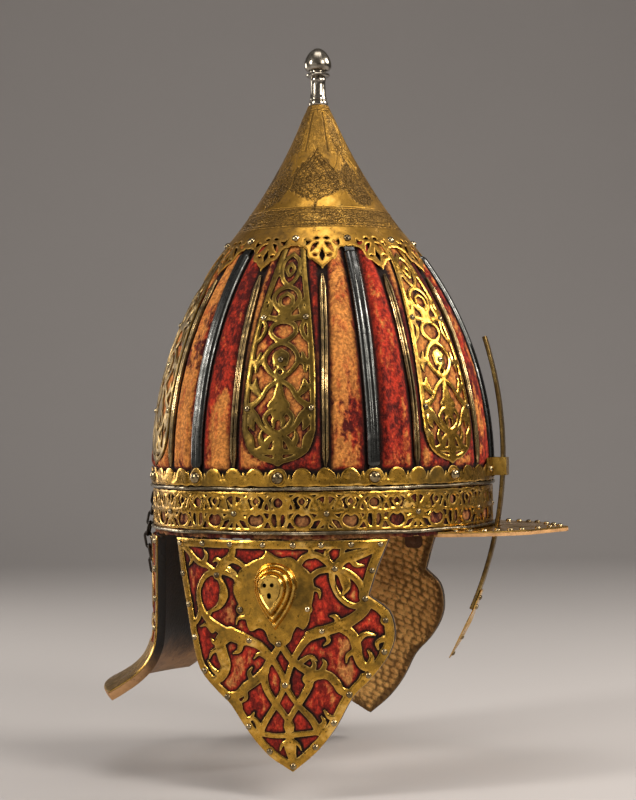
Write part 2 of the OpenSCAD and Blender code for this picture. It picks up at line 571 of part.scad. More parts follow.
module nasal_bracket() color("goldenrod") difference() {
    translate([0, 0, bracket_z0]) linear_extrude(height = bracket_h) {
        for (s = [-1, 1]) translate([bracket_r0 - 0.4, s * (bracket_in + strap_wall / 2) - strap_wall / 2])
            square([bracket_front + strap_wall - bracket_r0 + 0.4, strap_wall]);
        translate([bracket_front, -bracket_in - strap_wall])
            square([strap_wall, 2 * (bracket_in + strap_wall)]);
        intersection() {
            difference() { circle(r = bracket_r0 + strap_wall); circle(r = bracket_r0); }
            for (s = [-1, 1]) translate([bowl_r - 16, s * (bracket_in + 5.5) - 5.5]) square([30, 11]);
        }
    }
    cylinder(r = bracket_r0, h = 100);
    bracket_rivet_places(bowl_r) drill(bracket_shank);
}
module bracket_rivets() color("silver") bracket_rivet_places(bracket_r0 + strap_wall + head_gap)
    rivet(2.3, 1.6, bracket_shank, bracket_r0 + strap_wall + head_gap - bowl_r - skull_in);

// Cheekpieces: layers of one drum round the helmet's own axis, cut to one outline.
// The right one is drawn; width is forward and height is up, seen from the wearer's right.
lining_r0 = head_r + 0.5;
plate_r0 = lining_r0 + cheek_lining_t + 2 * layer_gap;
cheek_velvet_r0 = plate_r0 + cheek_plate_t + 2 * layer_gap;
cheek_gilt_r0 = cheek_velvet_r0 + velvet_t + layer_gap;
cheek_gilt_t = 1;
cheek_gilt_r1 = cheek_gilt_r0 + cheek_gilt_t;
cheek_k = cheek_drop / 132;
function cheek(x, z) = [x, -flap_gap - (-3 - z) * cheek_k];
cheek_back = smooth([cheek(-71.5, -3), cheek(-67.5, -24), cheek(-63, -44), cheek(-59, -62),
    cheek(-53.5, -79), cheek(-41.5, -90.5), cheek(-31.5, -98.5), cheek(-20, -113.5),
    cheek(-8, -126), cheek(6.5, -135)]);
cheek_lower = smooth([cheek(6.5, -135), cheek(20, -123.5), cheek(31, -109.5), cheek(40, -93),
    cheek(51, -81.5), cheek(59.5, -69), cheek(62.5, -57), cheek(59.5, -44), cheek(49, -35)]);
cheek_front = smooth([cheek(49, -35), cheek(54, -18.5), cheek(60, -3)]);
cheek_outline = concat(cheek_back, [for (i = [1 : len(cheek_lower) - 1]) cheek_lower[i]],
    [for (i = [1 : len(cheek_front) - 1]) cheek_front[i]]);
// The outline drawn in by the width of its frame
function inner(p, d) = let (n = len(p)) [for (i = [0 : n - 1])
    let (v = unit(p[(i + 1) % n] - p[(i + n - 1) % n])) p[i] + d * [-v[1], v[0]]];
function frame_line(d) = [for (p = inner(cheek_outline, d))
    [p[0], min(p[1], -flap_gap - d)]];
cheek_paths = [[cheek(-25, -27), cheek(-32, -23), cheek(-41, -22), cheek(-50, -26), cheek(-54, -36),
        cheek(-51, -45.5), cheek(-42, -53), cheek(-31, -58), cheek(-18, -60.5), cheek(-10, -65),
        cheek(-4, -72), cheek(1, -79), cheek(2.5, -85.5)],
    [cheek(-68, -6), cheek(-57, -13.5), cheek(-48.5, -18), cheek(-40, -23.5)],
    [cheek(-41, -22.5), cheek(-36, -16.5), cheek(-30.5, -12.5), cheek(-29, -5.5)],
    [cheek(-30.5, -12.5), cheek(-25.5, -16), cheek(-19, -18.5)],
    [cheek(-52, -45), cheek(-55, -52), cheek(-61, -54.5)],
    [cheek(0, -63), cheek(-5, -70), cheek(-10, -77), cheek(-9, -86.5), cheek(-3.5, -96), cheek(4, -106)],
    [cheek(0, -63), cheek(7, -72.5), cheek(15, -77.5), cheek(16, -85), cheek(10, -96.5), cheek(4, -106)],
    [cheek(17, -57), cheek(10.5, -65.5), cheek(5, -75), cheek(2.5, -85.5)],
    [cheek(2.5, -85.5), cheek(-4, -98), cheek(-9, -105.5), cheek(-13, -113)],
    [cheek(2.5, -85.5), cheek(9.5, -96.5), cheek(17, -104), cheek(21, -112)],
    [cheek(-20, -112.5), cheek(-9, -114.5), cheek(4.5, -114), cheek(16, -113), cheek(29, -112)],
    [cheek(-9.5, -79), cheek(-15, -84.5), cheek(-22.5, -89), cheek(-28, -93.5), cheek(-36, -93.5)],
    [cheek(16.5, -84), cheek(22, -80.5), cheek(27.5, -81), cheek(32, -87), cheek(41, -91)],
    [cheek(10.5, -17), cheek(15, -12), cheek(21.5, -11), cheek(27.5, -15), cheek(31.5, -19)],
    [cheek(18, -23.5), cheek(25, -19.5), cheek(31.5, -19)],
    [cheek(18.5, -11), cheek(18.5, -4)],
    [cheek(31.5, -19), cheek(37.5, -13), cheek(45, -10.5), cheek(56, -5.5)],
    [cheek(31.5, -19), cheek(40.5, -23), cheek(45.5, -30), cheek(47.5, -37)],
    [cheek(30.5, -19), cheek(31, -29.5), cheek(35.5, -37.5), cheek(42, -41.5), cheek(47, -39)],
    [cheek(49, -36), cheek(45.5, -44), cheek(36.5, -50), cheek(27.5, -54), cheek(19.5, -56)],
    [cheek(30, -53), cheek(40, -58.5), cheek(42.5, -67), cheek(45, -76), cheek(56, -74)]];
cheek_leaves = [[cheek(-40, -22), cheek(-36, -29), cheek(-36.5, -36), cheek(-40, -41.5), cheek(-46, -47)],
    [cheek(-24, -58), cheek(-36, -59), cheek(-37, -70), cheek(-34.5, -78), cheek(-42, -88)],
    [cheek(4, -104), cheek(4.5, -113), cheek(5.5, -122), cheek(7, -131)],
    [cheek(31, -19), cheek(36, -25.5), cheek(36, -32.5)]];
path_w = 3.4;
leaf_path_w = 6.5;
cartouche_at = cheek(-4.5, -34);
cartouche = [for (i = [0 : 35]) let (a = 10 * i, r = 23 + 1.6 * cos(7 * a) + 3 * pow(abs(sin(a)), 3))
    cartouche_at + r * [cos(a), sin(a)]];
cheek_edge_spots = [cheek(-68, -6), cheek(-50, -5.4), cheek(-31, -5.4), cheek(-10, -5.4), cheek(8, -5.4),
    cheek(24, -5.4), cheek(40.5, -5.4), cheek(56, -5.6), cheek(-65.6, -24), cheek(-61.2, -42),
    cheek(-56.8, -61), cheek(-49.5, -80), cheek(-33.5, -93.8), cheek(-20, -110), cheek(-7, -123.6),
    cheek(6.8, -131.6), cheek(19.6, -120.6), cheek(30, -107), cheek(38.6, -91), cheek(48.8, -80.5),
    cheek(57.2, -67.5), cheek(58, -49.5), cheek(47.6, -36.6), cheek(51.4, -20.5)];
cheek_inner_spots = [cheek(-40, -23.5), cheek(-24.5, -43), cheek(16, -42), cheek(-19, -60.5),
    cheek(-1, -62), cheek(24, -54.5), cheek(31.5, -19), cheek(2.5, -85.5)];
cheek_shank = 0.8;
module cheek_rivet_places(r) for (p = concat(cheek_edge_spots, cheek_inner_spots))
    rotate([0, 0, asin(p[0] / r) - 90]) translate([r, 0, p[1]]) rotate([0, 90, 0]) children();
// A flat drawing of the right side becomes a bar that points to -Y
module sideways() rotate([90, 0, 0]) linear_extrude(height = 130) children();
module drum(r0, r1) translate([0, 0, -150]) difference() {
    cylinder(r = r1, h = 150);
    translate([0, 0, -1]) cylinder(r = r0, h = 152);
}
module cheek_layer(r0, r1) difference() {
    intersection() {
        drum(r0, r1);
        sideways() polygon(cheek_outline);
    }
    cheek_rivet_places(cheek_gilt_r1) drill(cheek_shank);
}
module cheek_drawing() {
    difference() {
        polygon(cheek_outline);
        polygon(frame_line(frame_w));
    }
    intersection() {
        polygon(cheek_outline);
        union() {
            for (p = cheek_paths) polygon(strip_outline(smooth(p), path_w));
            for (p = cheek_leaves) polygon(strip_outline(smooth(p), leaf_path_w, 1));
            polygon(cartouche);
        }
    }
}
strap_z0 = -flap_gap - strap_down;
module cheek_strap_cut() for (a = strap_angles) rotate([0, 0, a - 90])
    translate([head_r - 6, -strap_w / 2 - 0.3, strap_z0 - 0.3])
    cube([6.7 + strap_t, strap_w + 0.6, strap_down + 4]);
module boss_shape(k) translate(cartouche_at + [2.5, 4]) polygon(concat(
    [for (a = [-30 : 15 : 210]) k * boss_r * [cos(a), sin(a)]], [[0, -k * boss_r * 1.95]]));
module cheek_right_ear_boss_solid() difference() {
    union() for (i = [0 : 3]) rotate([90, 0, 0])
        linear_extrude(height = cheek_gilt_r1 + boss_h * (i + 1) / 4) boss_shape(1 - 0.2 * i);
    cylinder(r = cheek_gilt_r1 + layer_gap, h = 300, center = true, $fn = 360);
    rotate([90, 0, 0]) linear_extrude(height = cheek_gilt_r1 + boss_h * 0.5) boss_shape(0.5);
    for (q = [[-2.2, 1.6, 1.4], [2.2, 1.6, 1.4], [0, -4.4, 1.7]])
        translate([cartouche_at[0] + 2.5 + q[0], 0, cartouche_at[1] + 4 + q[1]])
        rotate([90, 0, 0]) cylinder(r = q[2], h = 130);
}
module strap(a) rotate([0, 0, a - 90]) intersection() {
    translate([0, 0, strap_z0]) difference() {
        cylinder(r = strap_r + strap_t, h = strap_up - strap_z0);
        translate([0, 0, -1]) cylinder(r = strap_r, h = strap_up - strap_z0 + 2);
    }
    translate([0, -strap_w / 2, strap_z0]) cube([120, strap_w, strap_up - strap_z0]);
}
stud_r = 2.6;
stud_t = 0.45;
module strap_stud(a) for (z = [strap_up - 4, strap_z0 + 5]) rotate([0, 0, a - 90])
    translate([strap_r - stud_t - 0.05, 0, z]) rotate([0, 90, 0]) cylinder(r = stud_r, h = stud_t);
module on_left() mirror([0, 1, 0]) children();

module cheek_right_plate() color("dimgray") cheek_layer(plate_r0, plate_r0 + cheek_plate_t);
module cheek_right_velvet() color("firebrick") cheek_layer(cheek_velvet_r0, cheek_velvet_r0 + velvet_t);
module cheek_right_openwork() color("goldenrod") difference() {
    intersection() {
        drum(cheek_gilt_r0, cheek_gilt_r1);
        sideways() cheek_drawing();
    }
    cheek_rivet_places(cheek_gilt_r1) drill(cheek_shank);
}
module cheek_right_ear_boss() color("gold") cheek_right_ear_boss_solid();
module cheek_right_lining() color("sienna") difference() {
    cheek_layer(lining_r0, lining_r0 + cheek_lining_t);
    cheek_strap_cut();
}
module cheek_right_rivets() color("silver") cheek_rivet_places(cheek_gilt_r1 + head_gap)
    rivet(1.9, 1.5, cheek_shank, cheek_gilt_r1 + head_gap - lining_r0);
module cheek_right_straps() color("saddlebrown") difference() {
    for (a = strap_angles) { strap(a); strap_stud(a); }
    cheek_rivet_places(cheek_gilt_r1) drill(cheek_shank);
}
module cheek_left_plate() on_left() cheek_right_plate();
module cheek_left_velvet() on_left() cheek_right_velvet();
module cheek_left_openwork() on_left() cheek_right_openwork();
module cheek_left_ear_boss() on_left() cheek_right_ear_boss();
module cheek_left_lining() on_left() cheek_right_lining();
module cheek_left_rivets() on_left() cheek_right_rivets();
module cheek_left_straps() on_left() cheek_right_straps();

// Neck guard: layers of one profile turned part of the way round the back
neck_k = (neck_drop - 65) / 29;
neck_r = bowl_r + 2;
neck_line = [[neck_r, -flap_gap - 0.5], [neck_r + 0.5, -45], [neck_r + 1.4, -65],
    [neck_r + 3.6, -65 - 9 * neck_k], [neck_r + 8, -65 - 16.5 * neck_k],
    [neck_r + 15.2, -65 - 23 * neck_k], [neck_r + 24.3, -65 - 28.6 * neck_k],
    [neck_r + 30.8, -65 - 32 * neck_k]];
neck_velvet_in = gilt_t + layer_gap;
neck_plate_in = neck_velvet_in + velvet_t + layer_gap;
neck_plate_t = 1.2;
neck_lining_in = neck_plate_in + neck_plate_t + layer_gap;
module neck_layer(d0, d1, half_angle) rotate([0, 0, 180 - half_angle])
    rotate_extrude(angle = 2 * half_angle)
    polygon(concat(moved(neck_line, d0), reversed(moved(neck_line, d1))));
neck_shank = 0.8;
neck_side_a = neck_angle - 1.3;
module neck_rivet_places() {
    for (s = [-1, 1], z = [-24, -42, -60])
        on_side(180 + s * neck_side_a, z, neck_r + 0.5 * (z + 3.5) / -41.5 + (z < -45 ? 0.6 : 0)) children();
    for (i = [-2 : 2]) on_side(180 + i * neck_side_a / 2, -6.6, neck_r + 0.05) children();
}
staple_low_z = -29;
module neck_staple_holes() for (s = [-1, 1])
    translate([-neck_r - 12, s * staple_half, staple_low_z]) rotate([0, 90, 0])
    cylinder(r = chain_wire / 2 + hole_gap, h = 30);
module neck_cut() {
    neck_rivet_places() drill(neck_shank);
    neck_staple_holes();
}
neck_columns = [-1, -0.6, -0.2, 0.2, 0.6, 1];
module neck_window(t, z, l, w, tilt) rotate([0, 0, 180 + t * (neck_angle - 6.5)]) outwards(150)
    polygon(leaf([0, z], l, w, tilt));
module neck_openwork() color("goldenrod") difference() {
    neck_layer(0, gilt_t, neck_angle);
    for (t = neck_columns) {
        neck_window(t, -18, 15, 10, t * 20);
        neck_window(t, -36.5, 15, 10, -t * 20);
        neck_window(t, -55, 15, 10, t * 20);
    }
    neck_cut();
}
module neck_velvet() color("firebrick") difference() {
    neck_layer(neck_velvet_in, neck_velvet_in + velvet_t, neck_angle - 0.2);
    neck_cut();
}
module neck_plate() color("dimgray") difference() {
    neck_layer(neck_plate_in, neck_plate_in + neck_plate_t, neck_angle - 0.2);
    neck_cut();
}
module neck_lining() color("saddlebrown")
    neck_layer(neck_lining_in, neck_lining_in + neck_lining_t, neck_angle - 0.2);
module neck_rivets() color("silver") neck_rivet_places() translate([0, 0, 0.15])
    rivet(2, 1.5, neck_shank, 0.15 + neck_lining_in - layer_gap);

// Rear chain: four links hang from the bowl's staple and three stand on the neck guard's.
// The two staples, the guard's hanging line and the knee are the corners of a parallelogram,
// so the knee stays closed as the guard swings.
chain_out_x = -neck_r - 3.5;
chain_top = [chain_out_x, staple_z];
chain_foot = [chain_out_x - 2, staple_low_z];
neck_hang_at = [-bowl_r - 1.5, -2];
chain_knee = chain_foot + chain_top - neck_hang_at;
module staple(x0, x1, half) let (bend = chain_wire * 0.9, wire_r = chain_wire / 2) {
    for (s = [-1, 1]) {
        translate([x0 + bend - 0.1, s * half, 0]) rotate([0, 90, 0])
            cylinder(r = wire_r + 0.02, h = x1 - x0 - bend + 0.1);
        translate([x0 + bend, s * (half - bend), 0]) rotate([0, 0, 135 - s * 45])
            rotate_extrude(angle = 90) translate([bend, 0]) circle(r = wire_r);
    }
    translate([x0, bend - half - 0.1, 0]) rotate([-90, 0, 0])
        cylinder(r = wire_r + 0.02, h = 2 * (half - bend) + 0.2);
}
module rear_staple() color("dimgray") translate([0, 0, staple_z])
    staple(chain_out_x, -bowl_r - skull_in, staple_half);
module neck_staple() color("dimgray") translate([0, 0, staple_low_z])
    staple(chain_foot[0], -neck_r - 0.4 + neck_lining_in - layer_gap, staple_half);
// Distance between the middles of two wires that hook together, and the radius of a link's ends
hook = chain_wire + 0.5;
// One link along the local Z axis from its middle, flat in the local XZ plane
module link(p) rotate([90, 0, 0]) {
    for (s = [0, 180]) rotate([0, 0, s]) translate([0, p / 2, 0]) rotate_extrude(angle = 180)
        translate([hook, 0]) circle(r = chain_wire / 2);
    for (s = [-1, 1]) translate([s * hook, -p / 2 - 0.2, 0]) rotate([-90, 0, 0])
        cylinder(r = chain_wire / 2 + 0.03, h = p + 0.4);
}
// A run of n links from a to b in the XZ plane. The odd ones lie in that plane and turn about
// the level ends of the even ones, which stand square to it.
module links(a, b, n) let (d = b - a, l = norm(d), tilt = atan2(d[0], d[1]),
    p = (l - 2 * hook * floor(n / 2)) / n)
    translate([a[0], 0, a[1]]) rotate([0, tilt, 0]) for (i = [0 : n - 1])
        translate([0, 0, (i + 0.5) * p + hook * (2 * floor(i / 2) + i % 2)])
        rotate([0, 0, 90 * i]) link(p);
module chain_upper() color("dimgray") links(chain_top, chain_knee, 4);
module chain_lower() color("dimgray") links(chain_knee, chain_foot, 3);

skull();
velvet_cover();
head_lining();
crown_disc();
crown_cap();
cap_rivets();
finial_socket();
finial_knob();
finial_washer();
for (i = [1 : 6]) {
    steel_rib(60 * (i - 1));
    openwork_panel(60 * i - 30);
}
bead_ribs();
panel_rivets();
scallop_band();
band_rivets();
brow_band();
band_backing();
brow_rivets();
band_wires();
peak_plate();
peak_lining();
peak_rivets();
nasal_bracket();
bracket_rivets();
rear_staple();
nasal_bar();
nasal_leaf();
nasal_rivets();
cheek_right_plate();
cheek_right_velvet();
cheek_right_openwork();
cheek_right_ear_boss();
cheek_right_lining();
cheek_right_rivets();
cheek_right_straps();
cheek_left_plate();
cheek_left_velvet();
cheek_left_openwork();
cheek_left_ear_boss();
cheek_left_lining();
cheek_left_rivets();
cheek_left_straps();
neck_plate();
neck_velvet();
neck_openwork();
neck_lining();
neck_rivets();
neck_staple();
chain_upper();
chain_lower();
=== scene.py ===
"""Turkish helmet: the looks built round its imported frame.

Shapes are worked out in millimetres and scaled to metres when a mesh is made.
+X is forward, +Y is the wearer's left, +Z is up; the origin is the middle of the head opening.
"""

import math

import bpy
import numpy as np
from mathutils import Matrix, Vector


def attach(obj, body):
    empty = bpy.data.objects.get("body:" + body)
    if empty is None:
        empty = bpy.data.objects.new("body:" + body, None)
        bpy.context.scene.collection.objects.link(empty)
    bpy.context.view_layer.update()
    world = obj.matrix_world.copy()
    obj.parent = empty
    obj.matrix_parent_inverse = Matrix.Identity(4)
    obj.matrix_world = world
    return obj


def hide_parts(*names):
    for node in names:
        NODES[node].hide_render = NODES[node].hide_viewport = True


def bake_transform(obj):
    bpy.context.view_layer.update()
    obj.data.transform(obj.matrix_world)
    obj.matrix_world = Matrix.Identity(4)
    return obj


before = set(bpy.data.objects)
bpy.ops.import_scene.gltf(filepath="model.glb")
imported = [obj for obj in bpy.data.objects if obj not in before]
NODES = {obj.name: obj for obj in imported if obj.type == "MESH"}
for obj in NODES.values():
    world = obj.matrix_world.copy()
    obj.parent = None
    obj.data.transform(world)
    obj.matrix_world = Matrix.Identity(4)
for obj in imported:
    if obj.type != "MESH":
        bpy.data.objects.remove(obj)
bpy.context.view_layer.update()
MM = 0.001
rng = np.random.default_rng(1577)

# The CAD's own sizes, which the pieces here have to meet
BOWL_R, SPRING, CURVE_R = 106.0, 38.0, 218.0
CURVE_X = BOWL_R - CURVE_R
CAP_FOOT, CAP_TOP, CAP_TOP_R, CAP_HOLLOW = 180.0, 265.0, 7.3, 4.5
CAP_RIVET_Z, BAND_RIVET_Z, BROW_RIVET_Z = 174.0, 33.1, 12.5
STRIP_IN, STRIP_OUT = 1.1, 1.9
CHEEK_R0, CHEEK_R1 = 104.7, 105.7
QUILT_R0, QUILT_R1, CLOTH_R0, CLOTH_R1, BOSS_R = 98.7, 101.25, 102.95, 104.55, 105.75
SCALLOP_R, BROW_R, NASAL_R = 107.1, 106.1, 240.0
SIDES = ((-1, "right"), (1, "left"))
STRAP_TURNS = (-32, -4, 24)
PANEL_SPOTS = [(12.6, 126), (-12.6, 126), (0, 101), (19, 73), (-19, 73)]
# The distance from an engraved line, in millimetres, where nothing is engraved
PLAIN = 3.0
FULL_TURN = 2 * math.pi


# Shapes


def smoothstep(x, low=0.0, high=1.0):
    """0 below low, 1 above high, and 3t^2 - 2t^3 between them."""
    t = np.clip((np.asarray(x, float) - low) / (high - low), 0, 1)
    return t * t * (3 - 2 * t)


def blended_max(a, b, k):
    """The larger of two values, rounded over a width k where they are close."""
    h = np.clip(0.5 + 0.5 * (a - b) / k, 0, 1)
    return b + (a - b) * h + k * h * (1 - h)


def smooth_line(points, n=5):
    """A Catmull-Rom line through the points, n steps between two of them."""
    p = np.asarray(points, float)
    e = np.vstack([2 * p[0] - p[1], p, 2 * p[-1] - p[-2]])
    t = np.linspace(0, 1, n, endpoint=False)[:, None]
    runs = [
        0.5 * (2 * b + (c - a) * t + (2 * a - 5 * b + 4 * c - d) * t * t + (3 * b - a - 3 * c + d) * t**3)
        for a, b, c, d in zip(e, e[1:], e[2:], e[3:])
    ]
    return np.vstack(runs + [p[-1:]])


def wander(theta, z, count, turns, climbs, seed):
    """A smooth random height that closes round the bowl: a sum of cosines with whole numbers of turns."""
    r = np.random.default_rng(seed)
    out = np.zeros(np.broadcast(theta, z).shape)
    for _ in range(count):
        m = r.integers(turns[0], turns[1])
        q = r.uniform(*climbs) * r.choice([-1, 1])
        out += np.cos(m * theta + q * z + r.uniform(0, 6.283))
    return out / math.sqrt(count)


def bowl_radius(z, off=0.0):
    """The radius of a layer of the bowl at height z: upright up to the spring, then an arc."""
    z = np.asarray(z, float)
    arc = CURVE_X + np.sqrt(np.maximum((CURVE_R + off) ** 2 - (z - SPRING) ** 2, 1.0))
    return np.where(z <= SPRING, BOWL_R + off, arc)


def on_bowl(theta, z, h):
    """The point over angle theta and height z of the bowl's face, moved out square to the face by h."""
    rise = np.where(z > SPRING, (z - SPRING) / CURVE_R, 0.0)
    level = np.sqrt(1 - rise**2)
    r = np.where(z > SPRING, CURVE_X + CURVE_R * level, BOWL_R) + h * level
    return np.stack([r * np.cos(theta), r * np.sin(theta), z + h * rise], -1)


def on_drum(theta, z, r):
    """The point at radius r about the helmet's axis."""
    z = z + 0 * theta
    return np.stack([r * np.cos(theta), r * np.sin(theta), z], -1)


def cap_radius(z):
    """The cap's radius: a straight line from foot to top, less a parabola that hollows it."""
    t = (z - CAP_FOOT) / (CAP_TOP - CAP_FOOT)
    foot = float(bowl_radius(CAP_FOOT, STRIP_OUT))
    return foot + (CAP_TOP_R - foot) * t - 4 * CAP_HOLLOW * t * (1 - t)


def on_cheek(side):
    """Width x and height z on a cheekpiece's drum, on the right (-1) or left (1), at a radius."""
    return lambda x, z, r: np.stack([x, side * np.sqrt(r * r - x * x), z + 0 * x], -1)


# Meshes


def build(name, points, faces, material, crease=38, values=None):
    """A closed mesh from points in millimetres and arrays of faces; faces are turned outwards by its volume."""
    points = np.asarray(points, float).reshape(-1, 3)
    faces = [f for f in faces if len(f)]
    volume = 0.0
    for f in faces:
        a = points[f[:, 0]]
        for k in range(1, f.shape[1] - 1):
            volume += np.einsum("ij,ij->i", a, np.cross(points[f[:, k]], points[f[:, k + 1]])).sum()
    if volume < 0:
        faces = [f[:, ::-1] for f in faces]
    mesh = bpy.data.meshes.new(name)
    mesh.vertices.add(len(points))
    mesh.vertices.foreach_set("co", (points * MM).astype(np.float32).ravel())
    corners = np.concatenate([f.ravel() for f in faces]).astype(np.int32)
    sizes = np.concatenate([np.full(len(f), f.shape[1]) for f in faces])
    mesh.loops.add(len(corners))
    mesh.loops.foreach_set("vertex_index", corners)
    mesh.polygons.add(len(sizes))
    mesh.polygons.foreach_set("loop_start", np.concatenate([[0], np.cumsum(sizes)[:-1]]).astype(np.int32))
    for key, value in (values or {}).items():
        mesh.attributes.new(key, "FLOAT", "POINT").data.foreach_set(
            "value", np.broadcast_to(value, len(points)).astype(np.float32))
    mesh.update(calc_edges=True)
    mesh.validate()
    mesh.polygons.foreach_set("use_smooth", np.ones(len(mesh.polygons), bool))
    mesh.set_sharp_from_angle(angle=math.radians(crease))
    mesh.materials.append(material)
    piece = bpy.data.objects.new(name, mesh)
    bpy.context.scene.collection.objects.link(piece)
    return piece


def around(n):
    """n angles, evenly spaced once round."""
    return np.linspace(0, FULL_TURN, n, endpoint=False)


def both_sides(outer, inner):
    """The outer face's grid carried on by the inner face's, back the other way."""
    return np.concatenate([outer, inner[:, ::-1]], 1)


def grid_faces(nu, nv, wrap_u=False, wrap_v=False):
    """Four-cornered faces of a grid of nu by nv points, closed on itself where asked."""
    i, j = np.meshgrid(np.arange(nu - (not wrap_u)), np.arange(nv - (not wrap_v)), indexing="ij")
    i, j = i.ravel(), j.ravel()
    k, m = (i + 1) % nu, (j + 1) % nv
    return np.stack([i * nv + j, k * nv + j, k * nv + m, i * nv + m], 1)


def turned(profile, n, wobble=None):
    """Points and faces of a closed profile (radius, height) turned about the helmet's axis in n steps."""
    p = np.asarray(profile, float)
    a = around(n)[:, None]
    r, z = p[None, :, 0] + 0 * a, p[None, :, 1] + 0 * a
    if wobble is not None:
        r, z = r + wobble(a, z)[0], z + wobble(a, z)[1]
    return on_drum(a, z, r).reshape(-1, 3), [grid_faces(n, len(p), True, True)]


def capped(profile, n):
    """Points and faces of a profile that starts and ends on the axis, turned in n steps, closed by fans."""
    p = np.asarray(profile, float)
    a = around(n)[:, None]
    ring = on_drum(a, p[None, 1:-1, 1], p[None, 1:-1, 0])
    m = len(p) - 2
    points = np.vstack([ring.reshape(-1, 3), [[0, 0, p[0, 1]], [0, 0, p[-1, 1]]]])
    i = np.arange(n)
    k = (i + 1) % n
    low = np.stack([i * m, np.full(n, n * m), k * m], 1)
    high = np.stack([i * m + m - 1, k * m + m - 1, np.full(n, n * m + 1)], 1)
    return points, [grid_faces(n, m, True), low, high]


def swept(middle, outward, across, section):
    """Points and faces of a closed section (n by k by 2: across, outward) carried along n points."""
    section = np.asarray(section, float)
    n, k = section.shape[:2]
    points = middle[:, None] + across[:, None] * section[..., :1] + outward[:, None] * section[..., 1:]
    ends = [np.arange(k)[None, ::-1], (n - 1) * k + np.arange(k)[None]]
    return points.reshape(-1, 3), [grid_faces(n, k, False, True)] + ends


def draw(u, v, strips, soften=0.5, field=None):
    """How far each point of a grid lies inside tapered strips (x, z, half width): the half width there, less
    the distance from the strip's middle line; the largest value holds, with a fillet where strips meet."""
    out = np.full((len(u), len(v)), -6.0) if field is None else field.copy()
    for s in strips:
        reach = s[:, 2].max() + 3
        i = slice(*np.searchsorted(u, [s[:, 0].min() - reach, s[:, 0].max() + reach]))
        j = slice(*np.searchsorted(v, [s[:, 1].min() - reach, s[:, 1].max() + reach]))
        x, z = u[i, None], v[None, j]
        best = np.full((x.shape[0], z.shape[1]), -6.0)
        for a, b in zip(s, s[1:]):
            d = b[:2] - a[:2]
            t = np.clip(((x - a[0]) * d[0] + (z - a[1]) * d[1]) / max(d @ d, 1e-9), 0, 1)
            gap = np.hypot(x - a[0] - t * d[0], z - a[1] - t * d[1])
            best = np.maximum(best, a[2] + (b[2] - a[2]) * t - gap)
        out[i, j] = blended_max(out[i, j], best, soften)
    return out


def inside(u, v, outline):
    """Distance from a closed outline, above zero inside it."""
    x, z = np.meshgrid(u, v, indexing="ij")
    gap, odd = np.full(x.shape, 1e9), np.zeros(x.shape, bool)
    for (x0, z0), (x1, z1) in zip(outline, np.roll(outline, -1, 0)):
        dx, dz = x1 - x0, z1 - z0
        t = np.clip(((x - x0) * dx + (z - z0) * dz) / max(dx * dx + dz * dz, 1e-9), 0, 1)
        gap = np.minimum(gap, np.hypot(x - x0 - t * dx, z - z0 - t * dz))
        odd ^= ((z0 > z) != (z1 > z)) & (x < dx * (z - z0) / (dz if abs(dz) > 1e-9 else 1e-9) + x0)
    return np.where(odd, gap, -gap)


def pierced(u, v, field, place, floor, height, wrap=False, extra=None):
    """Cuts a drawing out of sheet. The field's zero line is followed through each cell of the grid, the top is
    lifted to height(u, v, rim), the underside lies at floor, and walls join them along the cut edges."""
    nu, nv = field.shape
    f = np.where(np.abs(field) < 0.02, 0.02, field)
    size = nu * nv
    ring = np.arange(nu if wrap else nu - 1)
    nxt = (ring + 1) % nu
    full_u = np.append(u, 2 * u[-1] - u[-2]) if wrap else u
    corner = np.arange(size).reshape(nu, nv)
    inn = f > 0
    a, b = corner[ring][:, :-1], corner[nxt][:, :-1]
    c, d = corner[nxt][:, 1:], corner[ring][:, 1:]
    codes = inn.ravel()[a] * 1 + inn.ravel()[b] * 2 + inn.ravel()[c] * 4 + inn.ravel()[d] * 8
    along = [size + a, 2 * size + b, size + d, 2 * size + a]
    corners = [a, b, c, d]
    faces = []
    for code in range(1, 16):
        cell = codes == code
        if not cell.any():
            continue
        row = []
        for k in range(4):
            here, after = code >> k & 1, code >> (k + 1) % 4 & 1
            if here:
                row.append(corners[k][cell])
            if here != after:
                row.append(along[k][cell])
        faces.append(np.stack(row, 1))
    used, place_of = np.unique(np.concatenate([x.ravel() for x in faces]), return_inverse=True)
    cut, start = [], 0
    for x in faces:
        cut.append(place_of[start:start + x.size].reshape(x.shape))
        start += x.size
    kind, index = used // size, used % size
    i, j = index // nv, index % nv
    i2 = np.where(kind == 1, (i + 1) % nu, i)
    j2 = np.where(kind == 2, np.minimum(j + 1, nv - 1), j)
    f0, f1 = f[i, j], f[i2, j2]
    t = np.where(kind == 0, 0.0, f0 / np.where(kind == 0, 1.0, f0 - f1))
    pu = full_u[i] + t * np.where(kind == 1, full_u[i + (kind == 1)] - full_u[i], 0.0)
    pv = v[j] + t * (v[j2] - v[j])
    rim = np.where(kind == 0, f0, 0.0)
    values = {"rim": rim}
    for key, data in (extra or {}).items():
        values[key] = data[i, j] * (1 - t) + data[i2, j2] * t
    n = len(used)
    points = np.vstack([place(pu, pv, height(pu, pv, rim)), place(pu, pv, floor + 0 * pu)])
    edges = np.concatenate([np.stack([x, np.roll(x, -1, 1)], -1).reshape(-1, 2) for x in cut])
    keys = edges[:, 0] * n + edges[:, 1]
    free = edges[~np.isin(edges[:, 1] * n + edges[:, 0], keys)]
    walls = np.stack([free[:, 1], free[:, 0], free[:, 0] + n, free[:, 1] + n], 1)
    values = {k: np.concatenate([x, x]) for k, x in values.items()}
    return points, cut + [x[:, ::-1] + n for x in cut] + [walls], values


def sheet_height(base, thick, edge=0.3, width=0.7):
    """The height of a sheet whose cut edge is rounded down by edge over a width."""
    return lambda u, v, rim: base + thick - edge * (1 - smoothstep(rim, 0, width))


